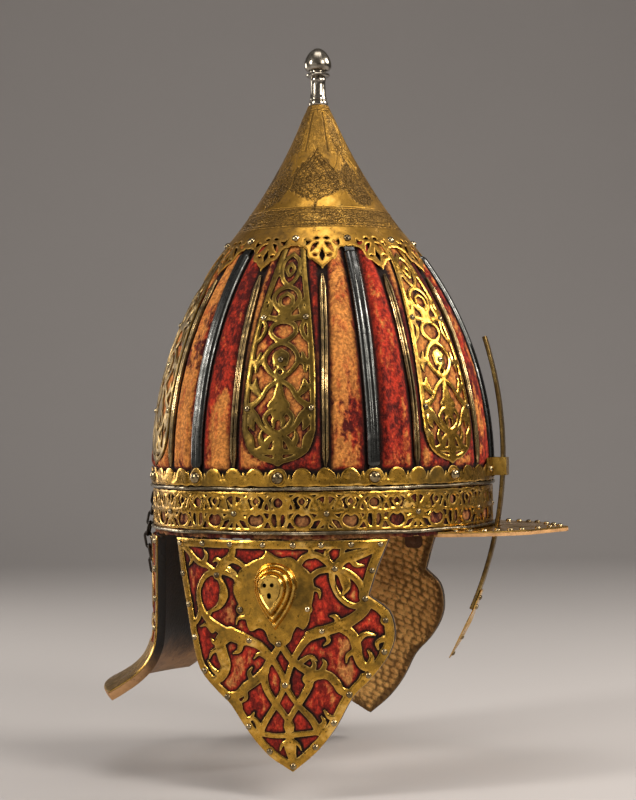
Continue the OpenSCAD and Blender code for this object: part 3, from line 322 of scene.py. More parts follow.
def mirrored(edge, flip=(-1, 1)):
    """A closed outline from one half of it."""
    return np.vstack([edge, edge[::-1] * flip])


def mirror_lines(lines):
    """The lines and their mirror images about x = 0."""
    return lines + [s * [-1, 1, 1] for s in lines]


def nearest(grid, x):
    """The index of the nearest value of an even grid."""
    return np.clip(np.round((x - grid[0]) / (grid[1] - grid[0])).astype(int), 0, len(grid) - 1)


def between(grid, x):
    """The index of the even grid's value below x, and the share of the way to the next."""
    k = np.clip((x - grid[0]) / (grid[1] - grid[0]), 0, len(grid) - 1.001)
    i = k.astype(int)
    return i, k - i


def steps(low, high, size):
    """Evenly spaced values from low to high, about size apart."""
    return np.linspace(low, high, int(round((high - low) / size)) + 1)


# Materials


class Net:
    """Adds shader nodes to a tree; an input takes a number, a colour or another node's output."""

    def __init__(self, tree):
        self.tree = tree

    def add(self, kind, values=None, out=0, **settings):
        """Adds a node and returns one of its outputs."""
        n = self.tree.nodes.new("ShaderNode" + kind)
        for key, value in settings.items():
            setattr(n, key, value)
        return self.fill(n, values or {}).outputs[out]

    def fill(self, node, values):
        """Links or sets a node's inputs."""
        for key, value in values.items():
            if isinstance(value, bpy.types.NodeSocket):
                self.tree.links.new(value, node.inputs[key])
            else:
                node.inputs[key].default_value = value
        return node

    def math(self, operation, a, b):
        return self.add("Math", {0: a, 1: b}, operation=operation)

    def plus(self, a, b):
        return self.math("ADD", a, b)

    def minus(self, a, b):
        return self.math("SUBTRACT", a, b)

    def times(self, a, b):
        return self.math("MULTIPLY", a, b)

    def mix(self, factor, a, b):
        return self.add("Mix", {0: factor, 6: a, 7: b}, out=2, data_type="RGBA", blend_type="MIX")

    def span(self, value, low, high, to_low=0.0, to_high=1.0):
        """Maps low..high of a value to to_low..to_high, held at the ends."""
        return self.add("MapRange", {0: value, 1: low, 2: high, 3: to_low, 4: to_high}, interpolation_type="SMOOTHSTEP")

    def noise(self, vector, scale, detail=3.0, rough=0.55, stretch=(1, 1, 1), shift=(0, 0, 0)):
        """Cloudy noise over a position, stretched and shifted."""
        v = self.add("Mapping", {"Vector": vector, "Scale": stretch, "Location": shift})
        return self.add("TexNoise", {"Vector": v, "Scale": scale, "Detail": detail, "Roughness": rough})

    def value(self, name):
        """A number that the mesh brings with it."""
        return self.add("Attribute", out=2, attribute_name=name)

    def here(self):
        """The place on the object."""
        return self.add("TexCoord", out=3)


def shader_group(name, inputs, outputs):
    """An empty node group with named sockets; returns its tree, its inputs and a way to set its outputs."""
    tree = bpy.data.node_groups.new(name, "ShaderNodeTree")
    for label, kind, value in inputs:
        s = tree.interface.new_socket(name=label, in_out="INPUT", socket_type="NodeSocket" + kind)
        if kind != "Vector":
            s.default_value = value
    for label, kind in outputs:
        tree.interface.new_socket(name=label, in_out="OUTPUT", socket_type="NodeSocket" + kind)
    start, end = tree.nodes.new("NodeGroupInput"), tree.nodes.new("NodeGroupOutput")
    return Net(tree), start.outputs, lambda key, socket: tree.links.new(socket, end.inputs[key])


def use_group(net, group, values):
    """Places a shared effect with its values; returns its outputs."""
    n = net.tree.nodes.new("ShaderNodeGroup")
    n.node_tree = group
    return net.fill(n, values).outputs


def material(name):
    """A new material with one Principled shader; returns the material, its net and a way to feed the shader."""
    m = bpy.data.materials.new(name)
    m.use_nodes = True
    net = Net(m.node_tree)
    shader = m.node_tree.nodes["Principled BSDF"]

    def feed(**values):
        net.fill(shader, {key.replace("_", " "): value for key, value in values.items()})

    return m, net, feed


def tint(colour, k=1):
    """A colour k times as bright, as a socket takes it."""
    return (*[c * k for c in colour], 1)


def make_groups():
    """The effects that several finishes share."""
    # Tone of worked metal: cloudy dark toning, small spots and scratches
    net, i, put = shader_group("toning", [("Place", "Vector", None), ("Size", "Float", 1.0), ("Amount", "Float", 0.5)],
                               [("Tone", "Float"), ("Spots", "Float"), ("Height", "Float")])
    size = i["Size"]
    cloud = net.noise(i["Place"], net.times(size, 38.0), 5, 0.6)
    fine = net.noise(i["Place"], net.times(size, 210.0), 4, 0.6, shift=(3, 1, 7))
    spots = net.noise(i["Place"], net.times(size, 520.0), 2, 0.5, shift=(9, 4, 2))
    tone = net.plus(net.times(cloud, 0.68), net.times(fine, 0.32))
    low = net.minus(0.66, net.times(i["Amount"], 0.34))
    put("Tone", net.span(tone, net.minus(low, 0.13), net.plus(low, 0.13)))
    put("Spots", net.span(spots, 0.62, 0.72))
    put("Height", net.plus(net.times(fine, 0.6), net.times(cloud, 1.2)))
    toning = net.tree
    # Chased lines, and bright rims that are partly worn and partly a painted highlight, from how far a point is from an
    # edge and from an engraved line
    net, i, put = shader_group("chasing", [("Rim", "Float", 3.0), ("Chase", "Float", 3.0), ("Line", "Float", 0.28)],
                               [("Cut", "Float"), ("Edge", "Float")])
    put("Cut", net.span(i["Chase"], net.times(i["Line"], 0.5), i["Line"], 1.0, 0.0))
    put("Edge", net.span(i["Rim"], 0.0, 0.4, 1.0, 0.0))
    chasing = net.tree
    # Cloth: pile and tufts, and patches rubbed bare that run down the piece
    net, i, put = shader_group("rubbed_pile", [("Place", "Vector", None), ("Raised", "Float", 0.5),
                                               ("Worn", "Float", 0.5), ("Rub", "Float", 0.5)],
                               [("Bare", "Float"), ("Deep", "Float"), ("Tuft", "Float"), ("Height", "Float")])
    streak = net.noise(i["Place"], 58.0, 5, 0.62, stretch=(1, 1, 0.3))
    patch = net.noise(i["Place"], 24.0, 4, 0.6, stretch=(1, 1, 0.5), shift=(5, 2, 8))
    pile = net.noise(i["Place"], 900.0, 3, 0.7, stretch=(1, 1, 0.5))
    speck = net.noise(i["Place"], 300.0, 3, 0.7, stretch=(1, 1, 0.6), shift=(1, 8, 3))
    tuft = net.noise(i["Place"], 560.0, 2, 0.6, shift=(4, 4, 1))
    body = net.plus(net.times(streak, 0.6), net.times(patch, 0.36))
    body = net.plus(body, net.times(speck, 0.3))
    body = net.plus(body, net.times(net.minus(i["Raised"], 0.5), 0.12))
    body = net.plus(body, net.times(net.minus(i["Worn"], 0.5), 0.3))
    level = net.minus(0.96, net.times(i["Rub"], 0.5))
    put("Bare", net.span(body, net.minus(level, 0.05), net.plus(level, 0.045)))
    put("Deep", net.span(net.plus(net.times(patch, 0.5), net.times(speck, 0.6)), 0.46, 0.66))
    put("Tuft", net.span(tuft, 0.36, 0.62))
    put("Height", net.plus(pile, net.plus(net.times(speck, 1.6), net.times(tuft, 1.4))))
    return toning, chasing, net.tree


TONING, CHASING, PILE = make_groups()


def metal(name, bright, middle, dark, amount=0.5, rough=(0.26, 0.5), size=1.0, cut=None, worked=False, waves=0.0):
    """Worked metal: three tones by cloudy wear, dark lines where it is chased, bright rims that are partly rubbed wear
    and partly a painted highlight, and where it is worked all over, small punched scrolls that hold dirt."""
    m, net, feed = material(name)
    at = net.here()
    t = use_group(net, TONING, {"Place": at, "Size": size, "Amount": amount})
    colour = net.mix(t["Tone"], tint(dark), tint(middle))
    colour = net.mix(net.span(t["Height"], 0.95, 1.25), colour, tint(bright))
    colour = net.mix(net.times(t["Spots"], 0.75), colour, tint(dark, 0.35))
    roughness = net.span(t["Tone"], 0.0, 1.0, rough[1], rough[0])
    height = net.plus(net.times(t["Height"], 0.5), net.times(net.noise(at, 88.0, 2, 0.45), waves))
    if cut is not None:
        c = use_group(net, CHASING, {"Rim": net.value("rim"), "Chase": net.value("chase"), "Line": cut})
        colour = net.mix(net.times(c["Cut"], 0.78), colour, tint(dark, 0.4))
        # Painted highlight on every cut rim, on top of the brightness of rubbed wear
        colour = net.mix(net.times(c["Edge"], 0.35), colour, tint(bright))
        height = net.minus(height, net.times(c["Cut"], 1.1))
        roughness = net.plus(roughness, net.times(c["Cut"], 0.2))
    if worked:
        part = net.value("worked")
        warp = net.add("TexNoise", {"Vector": at, "Scale": 150.0, "Detail": 2.0}, out=1)
        moved = net.add("VectorMath", {0: warp, 1: (0.006, 0.006, 0.006)}, operation="MULTIPLY")
        moved = net.add("VectorMath", {0: at, 1: moved}, operation="ADD")
        cells = net.add("TexVoronoi", {"Vector": moved, "Scale": 540.0}, feature="DISTANCE_TO_EDGE")
        scroll = net.times(net.span(cells, 0.04, 0.2, 1.0, 0.0), part)
        dirt = net.times(net.plus(net.times(part, 0.8), 0.2),
                        net.span(net.noise(at, 70.0, 6, 0.7, shift=(8, 3, 3)), 0.4, 0.56))
        colour = net.mix(net.times(part, 0.5), colour, tint(dark, 1.3))
        colour = net.mix(net.times(dirt, 0.88), colour, tint(dark))
        colour = net.mix(net.times(scroll, 0.85), colour, tint(dark, 0.35))
        height = net.minus(height, net.times(scroll, 1.6))
        roughness = net.plus(roughness, net.times(part, 0.1))
    normal = net.add("Bump", {"Strength": 0.5, "Distance": 0.12 * MM * 4, "Height": height})
    feed(Base_Color=colour, Metallic=1.0, Roughness=roughness, Normal=normal)
    return m


def velvet(name, rub=0.5, deep=(0.07, 0.005, 0.004), red=(0.42, 0.024, 0.013), bare=(0.60, 0.235, 0.05)):
    """Worn crimson velvet: deep red pile, brighter red where it lies flat, tan ground where it is rubbed bare,
    and painted shade that darkens it where it sinks beside the strips and edges holding it down."""
    m, net, feed = material(name)
    raised = net.value("raised")
    p = use_group(net, PILE, {"Place": net.here(), "Raised": raised, "Worn": net.value("worn"), "Rub": rub})
    colour = net.mix(p["Deep"], tint(deep), tint(red))
    ground = net.mix(net.noise(net.here(), 95.0, 4, 0.6, shift=(2, 7, 5)), tint(bare, 1.15),
                     tint(bare, 0.42))
    flecks = net.span(net.noise(net.here(), 170.0, 5, 0.7, stretch=(1, 1, 0.28), shift=(9, 3, 2)), 0.5, 0.68, 0.0, 0.62)
    colour = net.mix(p["Bare"], colour, net.mix(flecks, ground, tint(red, 0.8)))
    colour = net.mix(net.times(p["Tuft"], 0.5), colour, tint(deep, 0.35))
    # Painted shade: darker as the swell mask falls towards the strips and edges that hold the cloth down, near black in
    # a narrow crease along them
    colour = net.mix(net.span(raised, 0.0, 1.0, 0.72, 0.0), colour, (0.02, 0.005, 0.004, 1))
    colour = net.mix(net.span(raised, 0.04, 0.44, 0.98, 0.0), colour, (0.006, 0.003, 0.002, 1))
    normal = net.add("Bump", {"Strength": 0.7, "Distance": 0.6 * MM, "Height": p["Height"]})
    feed(Base_Color=colour, Roughness=0.88, Normal=normal)
    feed(Sheen_Weight=0.03, Sheen_Roughness=0.4, Sheen_Tint=(0.9, 0.25, 0.1, 1), Specular_IOR_Level=0.2)
    return m


def hide(name, light, dark, stain=0.5, rough=0.75, sheen=0.0, black_above=None, worn_edge=False):
    """Leather: clouded colour, dark handling stains and a fine grain; darker in the stitched pits, a dark worn edge,
    and black above the heights in black_above where they are given."""
    m, net, feed = material(name)
    at = net.here()
    t = use_group(net, TONING, {"Place": at, "Size": 0.8, "Amount": 1.0 - stain})
    cells = net.add("TexVoronoi", {"Vector": at, "Scale": 260.0}, feature="DISTANCE_TO_EDGE")
    pores = net.span(cells, 0.0, 0.22)
    nap = net.noise(at, 650.0, 3, 0.7)
    colour = net.mix(t["Tone"], tint(dark), tint(light))
    colour = net.mix(net.span(nap, 0.35, 0.7, 0.0, 0.35), colour, tint(light, 1.3))
    # Darker in the stitched pits of the quilting
    deep = net.times(net.value("pit"), net.span(net.noise(at, 130.0, 5, 0.75, shift=(6, 1, 5)), 0.3, 0.62, 0.35, 1.25))
    pit = net.times(net.span(deep, 0.22, 0.95), 0.85)
    colour = net.mix(pit, colour, tint(dark, 0.35))
    colour = net.mix(net.times(t["Spots"], 0.6), colour, tint(dark, 0.3))
    if worn_edge:
        near = net.plus(net.span(net.value("rim"), 0.0, 9.0, 0.3, 0.0), net.noise(at, 62.0, 6, 0.72))
        colour = net.mix(net.span(near, 0.66, 0.78, 0.0, 0.85), colour, tint(dark, 0.22))
    # Black above the given heights, fading in with a little noise
    if black_above:
        level = net.add("SeparateXYZ", {0: at}, out=2)
        level = net.plus(level, net.times(net.noise(at, 45.0, 4, 0.6), 0.02))
        colour = net.mix(net.span(level, black_above[0] + 0.01, black_above[1] + 0.01), colour, (0.008, 0.006, 0.005, 1))
    height = net.plus(net.times(pores, 0.5), net.plus(nap, net.times(t["Height"], 0.8)))
    normal = net.add("Bump", {"Strength": 0.6, "Distance": 0.35 * MM, "Height": height})
    feed(Base_Color=colour, Roughness=rough, Normal=normal)
    if sheen:
        feed(Sheen_Weight=sheen, Sheen_Roughness=0.5, Sheen_Tint=tint(light))
    return m


gilt = metal("gilt_copper", (0.97, 0.64, 0.20), (0.62, 0.335, 0.046), (0.13, 0.08, 0.02), amount=0.55, cut=0.3,
             rough=(0.22, 0.44), waves=4.5)
# A brighter, smoother copy of the gilt for the ear bosses; its brighter tones are painted light for the highlights
# their rolled steps catch
gilt_boss_lit = metal("gilt_boss_lit", (0.98, 0.72, 0.28), (0.78, 0.48, 0.10), (0.20, 0.12, 0.03), amount=0.75, cut=0.3,
                  rough=(0.16, 0.34), waves=1.5)
gilt_cap = metal("gilt_cap", (0.72, 0.43, 0.10), (0.52, 0.275, 0.042), (0.15, 0.085, 0.025), amount=0.6, cut=0.42,
                 rough=(0.34, 0.56), worked=True, waves=2.5)
# A darker copy of the gilt for the four panels away from the front: painted shade for the darker room they reflect; the
# two front panels keep the plain gilt
gilt_shaded_copy = metal("gilt_shaded_copy", (0.60, 0.39, 0.10), (0.31, 0.19, 0.036), (0.075, 0.048, 0.014), amount=0.45, cut=0.3,
                   rough=(0.26, 0.48), waves=4.0)
brass = metal("drawn_brass", (0.84, 0.62, 0.33), (0.38, 0.26, 0.11), (0.06, 0.042, 0.022), amount=0.42,
              rough=(0.2, 0.42))
bronze = metal("bar_bronze", (0.50, 0.34, 0.11), (0.25, 0.16, 0.05), (0.09, 0.055, 0.02), amount=0.5)
steel = metal("rib_steel", (0.27, 0.27, 0.26), (0.085, 0.086, 0.082), (0.035, 0.036, 0.034), amount=0.5,
              rough=(0.2, 0.34))
silver = metal("bright_steel", (0.80, 0.75, 0.67), (0.46, 0.42, 0.35), (0.12, 0.10, 0.075), amount=0.6,
               rough=(0.14, 0.32))
moulding = metal("worn_moulding", (0.82, 0.72, 0.52), (0.36, 0.30, 0.20), (0.07, 0.055, 0.035), amount=0.45,
                 rough=(0.18, 0.42), waves=5.0)
rivet_steel = metal("rivet_steel", (0.84, 0.68, 0.42), (0.42, 0.32, 0.17), (0.09, 0.065, 0.035), amount=0.5,
                    rough=(0.12, 0.28), size=2.0)
plate_steel = metal("plate_steel", (0.36, 0.35, 0.34), (0.19, 0.18, 0.17), (0.09, 0.075, 0.06), rough=(0.4, 0.6))
iron = metal("chain_iron", (0.16, 0.145, 0.13), (0.055, 0.048, 0.044), (0.02, 0.016, 0.013), rough=(0.4, 0.7))
gilt_plain = metal("gilt_bracket", (0.80, 0.52, 0.14), (0.46, 0.27, 0.05), (0.13, 0.08, 0.02), amount=0.55, waves=3.0)
red_velvet = velvet("crimson_velvet", 0.49, red=(0.52, 0.036, 0.014), bare=(0.84, 0.32, 0.07))
cheek_cloth = velvet("cheek_velvet", 0.44, deep=(0.15, 0.008, 0.005), red=(0.64, 0.042, 0.018), bare=(0.78, 0.33, 0.09))
band_cloth = velvet("brow_velvet", 0.5, deep=(0.05, 0.008, 0.006), red=(0.26, 0.034, 0.016), bare=(0.42, 0.18, 0.06))
suede = hide("golden_suede", (0.86, 0.49, 0.15), (0.40, 0.185, 0.05), stain=0.36, rough=0.9, sheen=0.2, worn_edge=True)
leather = hide("brown_leather", (0.12, 0.052, 0.022), (0.035, 0.016, 0.008), rough=0.55)
lip_leather = hide("neck_leather", (0.36, 0.185, 0.07), (0.10, 0.045, 0.016), rough=0.6, black_above=(-0.092, -0.072))
peak_leather = hide("peak_leather", (0.56, 0.30, 0.11), (0.25, 0.12, 0.04), rough=0.6)


def dress(piece, body, slot, *nodes):
    """Fastens a piece to its body and hides the CAD nodes that it stands for; slot is not used."""
    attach(piece, body)
    if nodes:
        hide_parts(*nodes)
    return piece


def gild(name, sheet, finish, body, node, slot="gilt", crease=40):
    """Builds and dresses a sheet of metal, with nothing engraved where it brings no lines of its own."""
    points, faces, values = sheet
    values.setdefault("chase", np.full(len(points), PLAIN))
    return dress(build(name, points, faces, finish, crease, values), body, slot, node)


def cover_with(name, sheet, finish, body, node, worn):
    """Builds and dresses velvet over a plate, equally worn everywhere."""
    points, faces, values = sheet
    values = {"raised": values["raised"], "worn": np.full(len(points), worn)}
    piece = build(name, points, faces, finish, 60, values)
    dress(piece, body, "velvet_red", node)


# Bowl: velvet, ribs, beads, panels

PANEL_EDGE = np.vstack([
    [[5.6, 177.5]],
    smooth_line([[6.4, 170], [10.6, 150], [15.2, 129], [19.4, 101], [21.3, 74], [21.5, 60]], 3),
    smooth_line([[19.9, 54], [17, 48], [10, 43.4], [3.6, 41.6], [0.6, 39.8]], 2)])
PANEL_ANGLES = np.radians([30, 90, 150, 210, 270, 330])


def panel_half(z):
    """Half the panel's width at height z."""
    order = np.argsort(PANEL_EDGE[:, 1])
    return np.interp(z, PANEL_EDGE[order, 1], PANEL_EDGE[order, 0], left=0.0)


# How bare each gore of the velvet is rubbed at the foot, the middle and the top; twelve gores of 15 degrees from
# straight back round the right side to straight ahead, and the left side mirrors them
BARE = np.array([[0.5, 0.4, 0.6], [0.8, 0.9, 0.8], [0.8, 0.95, 0.8], [0.55, 0.85, 0.7], [0.62, 0.22, 0.32],
                 [0.55, 1.0, 0.95], [0.4, 0.5, 0.62], [0.48, 0.7, 1.0], [0.4, 0.24, 0.16], [0.42, 0.14, 0.86],
                 [0.5, 0.55, 0.75], [0.4, 0.6, 0.5]])


def make_velvet_cover():
    """Velvet over the bowl: held down by ribs, beads and panels, and swelling between them by
    1.75 mm times a smooth step of the distance from the nearest edge."""
    n, rows = 444, 80
    theta = around(n)[:, None]
    z = np.linspace(26.2, 180.5, rows)[None]
    r = bowl_radius(z)

    def gap(angles, half):
        turn = np.abs(fold_angle(theta[..., None] - angles, FULL_TURN))
        return (turn * r[..., None]).min(-1) - half

    free = np.minimum(gap(np.radians(np.arange(0, 360, 60)), 3.9), gap(np.radians(np.arange(15, 360, 30)), 1.7))
    panel = gap(PANEL_ANGLES, 0.0) - panel_half(z)
    free = np.minimum(np.minimum(free, np.abs(panel) + 0.3), np.minimum(z - 36.4, 179 - z))
    folds = wander(theta, z, 26, (20, 70), (0.0, 0.06), 3)
    ripple = wander(theta, z, 20, (60, 150), (0.1, 0.5), 17)
    bare_gore = np.vstack([BARE[::-1], BARE])
    gore = ((np.degrees(theta) % 360) // 15).astype(int)[:, 0]
    k = np.clip((z[0] - 40) / 62.5, 0, 2 - 1e-6)
    worn = bare_gore[gore][:, k.astype(int)] * (1 - k % 1) + bare_gore[gore][:, k.astype(int) + 1] * (k % 1)
    swell = smoothstep(free, 0.6, 5.0) * np.where(panel > 0, 1.0, 0.3)
    h = -0.5 + swell * (1.75 + 0.42 * folds + 0.14 * ripple)
    # The swell mask: low beside the ribs, beads and panels and near the scallop band and the cap border; it paints the
    # shade there and also sets where the pile is rubbed
    raised = np.clip(smoothstep(free, 0.1, 5.0) + 0.1 * folds * smoothstep(free, 1, 3), 0, 1)
    u, v, drawing = panel_field()
    turn = theta - PANEL_ANGLES[0]
    x = fold_angle(turn, math.radians(60)) * r
    i, j = nearest(u, x), nearest(v, z + 0 * x)
    # In the panels' openings it paints the shadow of the pierced sheet along its strips
    raised = np.where(panel > 0, raised, 0.12 + 0.72 * smoothstep(-drawing[i, j], -0.3, 2.4))
    worn = np.where(panel > 0, worn, 0.92)
    outer = on_bowl(theta + 0 * z, z + 0 * theta, h)
    inner = on_bowl(theta + 0 * z, z + 0 * theta, -1.45 + 0 * h)
    points = both_sides(outer, inner)
    values = {"raised": both_sides(raised, raised).ravel(),
              "worn": both_sides(worn, worn).ravel()}
    piece = build("velvet_over_bowl", points, [grid_faces(n, 2 * rows, True, True)], red_velvet, 60, values)
    dress(piece, "helmet", "velvet_red", "velvet_cover")


def strip_on_bowl(theta, z, section):
    """A section carried up the bowl at angle theta over the heights z."""
    t = np.full(len(z), theta)
    low, high = on_bowl(t, z, 0 * z), on_bowl(t, z, 1 + 0 * z)
    across = np.tile([-math.sin(theta), math.cos(theta), 0.0], (len(z), 1))
    return swept(low, high - low, across, section)


def scaled(section, wide, high, drift):
    """A section for each step of a strip, with its share of the width, of the height above 0.1 mm, and its drift."""
    s = np.repeat(section[None], len(wide), 0)
    s[..., 0] *= wide[:, None]
    s[..., 1] = 0.1 + (s[..., 1] - 0.1) * high[:, None]
    s[..., 0] += drift[:, None]
    return s


def join(parts):
    """Several (points, faces, values) as one."""
    points, faces, values, start = [], [], {}, 0
    for part in parts:
        p, f = part[0], part[1]
        points.append(p.reshape(-1, 3))
        faces += [x + start for x in f]
        for key, x in (part[2] if len(part) > 2 else {}).items():
            values.setdefault(key, []).append(x)
        start += len(points[-1])
    return np.vstack(points), faces, {k: np.concatenate(x) for k, x in values.items()}


def make_ribs():
    """Fluted steel ribs: half a flattened round with a shallow groove down its middle; ends rounded in plan."""
    z = np.concatenate([np.linspace(39.2, 41.6, 6), np.linspace(42.5, 163, 72), np.linspace(163.8, 166.2, 5)])
    low_end, high_end = np.clip((z - 38.7) / 3.0, 0, 1), np.clip((166.9 - z) / 2.4, 0, 1)
    end = np.sqrt(1 - (1 - low_end) ** 2) * np.sqrt(1 - (1 - high_end) ** 2)
    a = np.linspace(0, np.pi, 21)
    x = -4.25 * np.cos(a)
    y = 0.1 + 3.3 * np.sin(a) ** 0.85 - 0.95 * np.exp(-((x / 1.15) ** 2))
    section = np.vstack([np.stack([x, np.maximum(y, 0.35)], 1), [[4.25, 0.1], [-4.25, 0.1]]])
    for k in range(6):
        drift = (0.10 * np.sin(z / 17 + k * 2.1) + 0.06 * np.sin(z / 7.3 + k)) * smoothstep(z, 42, 60)
        s = scaled(section, 0.35 + 0.65 * end, 0.25 + 0.75 * end, drift)
        parts = [strip_on_bowl(math.radians(60 * k), z, s)]
        for z0, z1 in ((29.0, 40.5), (164.8, 177.3)):
            zz = np.linspace(z0, z1, 8)
            tongue = np.array([[-3.1, 0.12], [-3.1, 0.95], [3.1, 0.95], [3.1, 0.12]])
            parts.append(strip_on_bowl(math.radians(60 * k), zz, np.repeat(tongue[None], 8, 0)))
        points, faces, _ = join(parts)
        dress(build(f"fluted_rib_{k + 1}", points, faces, steel, 50), "helmet", "rib_steel", f"steel_rib_{k + 1}")


def make_beads():
    """Double-bead strips: two small half rounds side by side, drawn to a point at each end."""
    z = np.linspace(39.3, 152.3, 70)
    a = np.linspace(np.pi, 0, 9)
    bead = np.stack([1.05 * np.cos(a), 0.35 + 1.5 * np.sin(a)], 1)
    section = np.vstack([bead - [1.05, 0], (bead + [1.05, 0])[1:], [[2.1, 0.1], [-2.1, 0.1]]])
    taper = smoothstep(z, 38.0, 46) * smoothstep(154.4 - z, 0, 11)
    parts = []
    for k in range(12):
        drift = 0.22 * np.sin(z / 21 + k * 1.7) + 0.1 * np.sin(z / 9 + 3 * k)
        s = scaled(section, 0.25 + 0.75 * taper, 0.55 + 0.45 * taper, drift)
        parts.append(strip_on_bowl(math.radians(15 + 30 * k), z, s))
    points, faces, _ = join(parts)
    dress(build("double_bead_strips", points, faces, brass, 60), "helmet", "brass_strip", "bead_ribs")


def tapered(points, start, middle, end):
    """A smooth strip through the points whose half width goes from start through middle to end."""
    p = smooth_line(points)
    t = np.linspace(0, 1, len(p))
    w = np.interp(t, [0, 0.5, 1], [start, middle, end])
    return np.column_stack([p, w])


def places_of(row):
    """The points written in a row: x and z with a space between them, and commas between points."""
    return [[float(v) for v in p.split()] for p in row.split(",")]


def strips(table):
    """Tapered strips from a table with a row for each: half widths at start, middle and end, then its points."""
    rows = [row.split(":") for row in table.strip().splitlines()]
    return [tapered(places_of(points), *map(float, widths.split())) for widths, points in rows]


def spot(x, z, radius):
    """A round spot, as a strip next to nothing long."""
    return np.array([[x, z, radius], [x + 0.05, z, radius]])


PANEL_LINES = strips("""
0.7 0.75 0.8: 0 165, 4.2 161, 5.2 155, 3.6 149, 0 145
0.6 0.8 0.5: 0 159, 2.2 155.5, 0.4 151.5
0.9 0.7 0.5: 6.8 163, 4.8 158
0.9 0.7 0.6: 9.6 152, 5.4 152.5
0.8 0.8 0.9: 0 145, 5.2 142.6, 7.8 138, 5.6 132.6, 1.6 129.4, 0 127
0.6 0.7 0.6: 0 140.5, 3.6 138, 3.4 133.6, 0 131.6
0.7 2.4 1.2: 0 131, 0 128, 0 124.6
1.2 0.9 0.3: 1 128.6, 4.6 131.8
0.5 0.9 1.9: 12.6 139.5, 9.2 133, 12.6 126.5
1.2 1.0 1.4: 0 124.6, 6 125.6, 13.5 126.6, 17 127
0.8 0.8 0.9: 0 124.4, 6 121.6, 7.6 117.4, 4.4 113.6, 0 111.4
0.7 0.8 0.5: 13.4 126, 10.8 120, 13.6 113.6, 19 110
0.9 0.85 0.9: 0 111.6, 6.6 108, 10.2 101, 6.4 94.6, 0 89.4
0.9 1.0 1.2: 10 101, 14.6 99.6, 20.5 101
0.9 0.8 0.3: 14 100, 12.4 105.4
0.9 0.9 0.3: 14.4 100, 14.8 94
0.6 0.9 0.5: 0 106.6, 3.6 103.8, 3.4 98
2.7 2.7 2.7: 0 101, 0.1 101
0.6 0.7 0.6: 0 97, 2.6 94, 0 91
0.9 0.85 1.7: 0 89.6, 7 85, 10.8 79, 17 74.4, 20.5 73.5
0.7 1.5 0.3: 10.6 80, 14.6 84.6, 14.4 90
1.0 0.8 0.6: 14.2 84.8, 19.6 86.4
0.6 2.2 2.8: 0 89, 0 82, 0 75.4, 0 71
2.2 1.3 0.3: 0 77.5, 4.4 75, 6 73.4
1.0 0.8 0.9: 0 71.6, 5.4 71.2, 8.2 67, 5 61.6, 0 58.4
1.8 0.85 0.9: 19 73, 13.6 68.6, 9.6 62.4, 4.2 58.6, 0 57.6
1.2 1.6 0.3: 15.4 70, 16.4 65, 14.6 60.6
0.6 0.9 0.4: 0 68.4, 2.8 66, 2.4 62.6
0.9 1.3 0.9: 0 58, 5.4 55, 8.2 50.6, 13.8 48.4
0.8 1.1 1.6: 0 58, 1.4 53.4, 0 48.6
1.3 1.0 0.3: 8 51, 10.6 55.6, 10 60
0.8 1.2 0.8: 20.6 61, 16.6 56, 15.2 49.6
1.1 0.9 0.9: 0 48.2, 8 48, 17 48.6
2.2 1.6 2.6: 0 49, 0 45, 0 41
""")


def bolder(lines, k):
    """The strips with their half widths times k."""
    return [s * [1, 1, k] for s in lines]


def panel_field():
    """A panel's grid and drawing: a frame 2.9 mm wide inside the outline, and strips mirrored about the middle."""
    u, z = steps(-22.6, 22.6, 0.54), steps(39.2, 178.0, 0.54)
    outline = mirrored(PANEL_EDGE)
    whole = inside(u, z, outline)
    frame_strip = np.minimum(whole, 2.9 - whole)
    frame_strip[:, z > 171] = np.maximum(frame_strip[:, z > 171], np.minimum(whole[:, z > 171], 3.0))
    field = draw(u, z, mirror_lines(bolder(PANEL_LINES, 1.5)), 0.8, frame_strip)
    spots = [spot(x, y, 2.1) for x, y in PANEL_SPOTS]
    return u, z, np.minimum(draw(u, z, spots, 0.7, field), whole)


def make_panels():
    """Six pierced panels, each a little different."""
    u, z, field = panel_field()
    for k, turn in enumerate(PANEL_ANGLES):
        drift = 0.16 * np.sin(u[:, None] / 5 + k) * np.cos(z[None] / 9 + 2 * k)
        sheet = pierced(u, z, field + drift, lambda x, y, h: on_bowl(turn + np.arcsin(x / bowl_radius(y)), y, h),
                        0.1, sheet_height(0.1, 0.98))
        # Panels 1 and 6, at the front, take the plain gilt; the others take the darker copy that paints shade on them
        gild(f"pierced_panel_{k + 1}", sheet, gilt if k in (0, 5) else gilt_shaded_copy, "helmet",
             f"openwork_panel_{k + 1}", slot="gilt_dark")


# Rivets


def dome(radius, height, n=16):
    """Points and faces of a small rivet head with a rounded top and a flat underside, pointing along +Z."""
    a = np.linspace(0, np.pi / 2, 6)
    profile = [[0, -0.25], [radius * 0.98, -0.25]] + [[radius * np.cos(t), height * np.sin(t)] for t in a[:-1]]
    return capped(profile + [[0, height]], n)


def rivets(name, spots, radius, height, body, node):
    """Rivet heads at (point, outward) places, each a little different in size and tilt."""
    parts = []
    points, faces = dome(1.0, 1.0)
    for at, out in spots:
        out = np.asarray(out, float) + rng.normal(0, 0.035, 3)
        out /= np.linalg.norm(out)
        side = np.cross([0.31, 0.17, 0.94], out)
        side /= np.linalg.norm(side)
        r, h = radius * rng.uniform(0.94, 1.05), height * rng.uniform(0.92, 1.06)
        turn = np.stack([side * r, np.cross(out, side) * r, out * h])
        parts.append((points @ turn + np.asarray(at), faces))
    points, faces, _ = join(parts)
    dress(build(name, points, faces, rivet_steel, 50), body, "bright_steel", node)


def seat(place, u, v, h, rise=1.0):
    """A point on a surface and the direction outwards from it."""
    low, high = place(np.full(2, float(u)), np.full(2, float(v)), np.array([h, h + rise]))
    return low, high - low


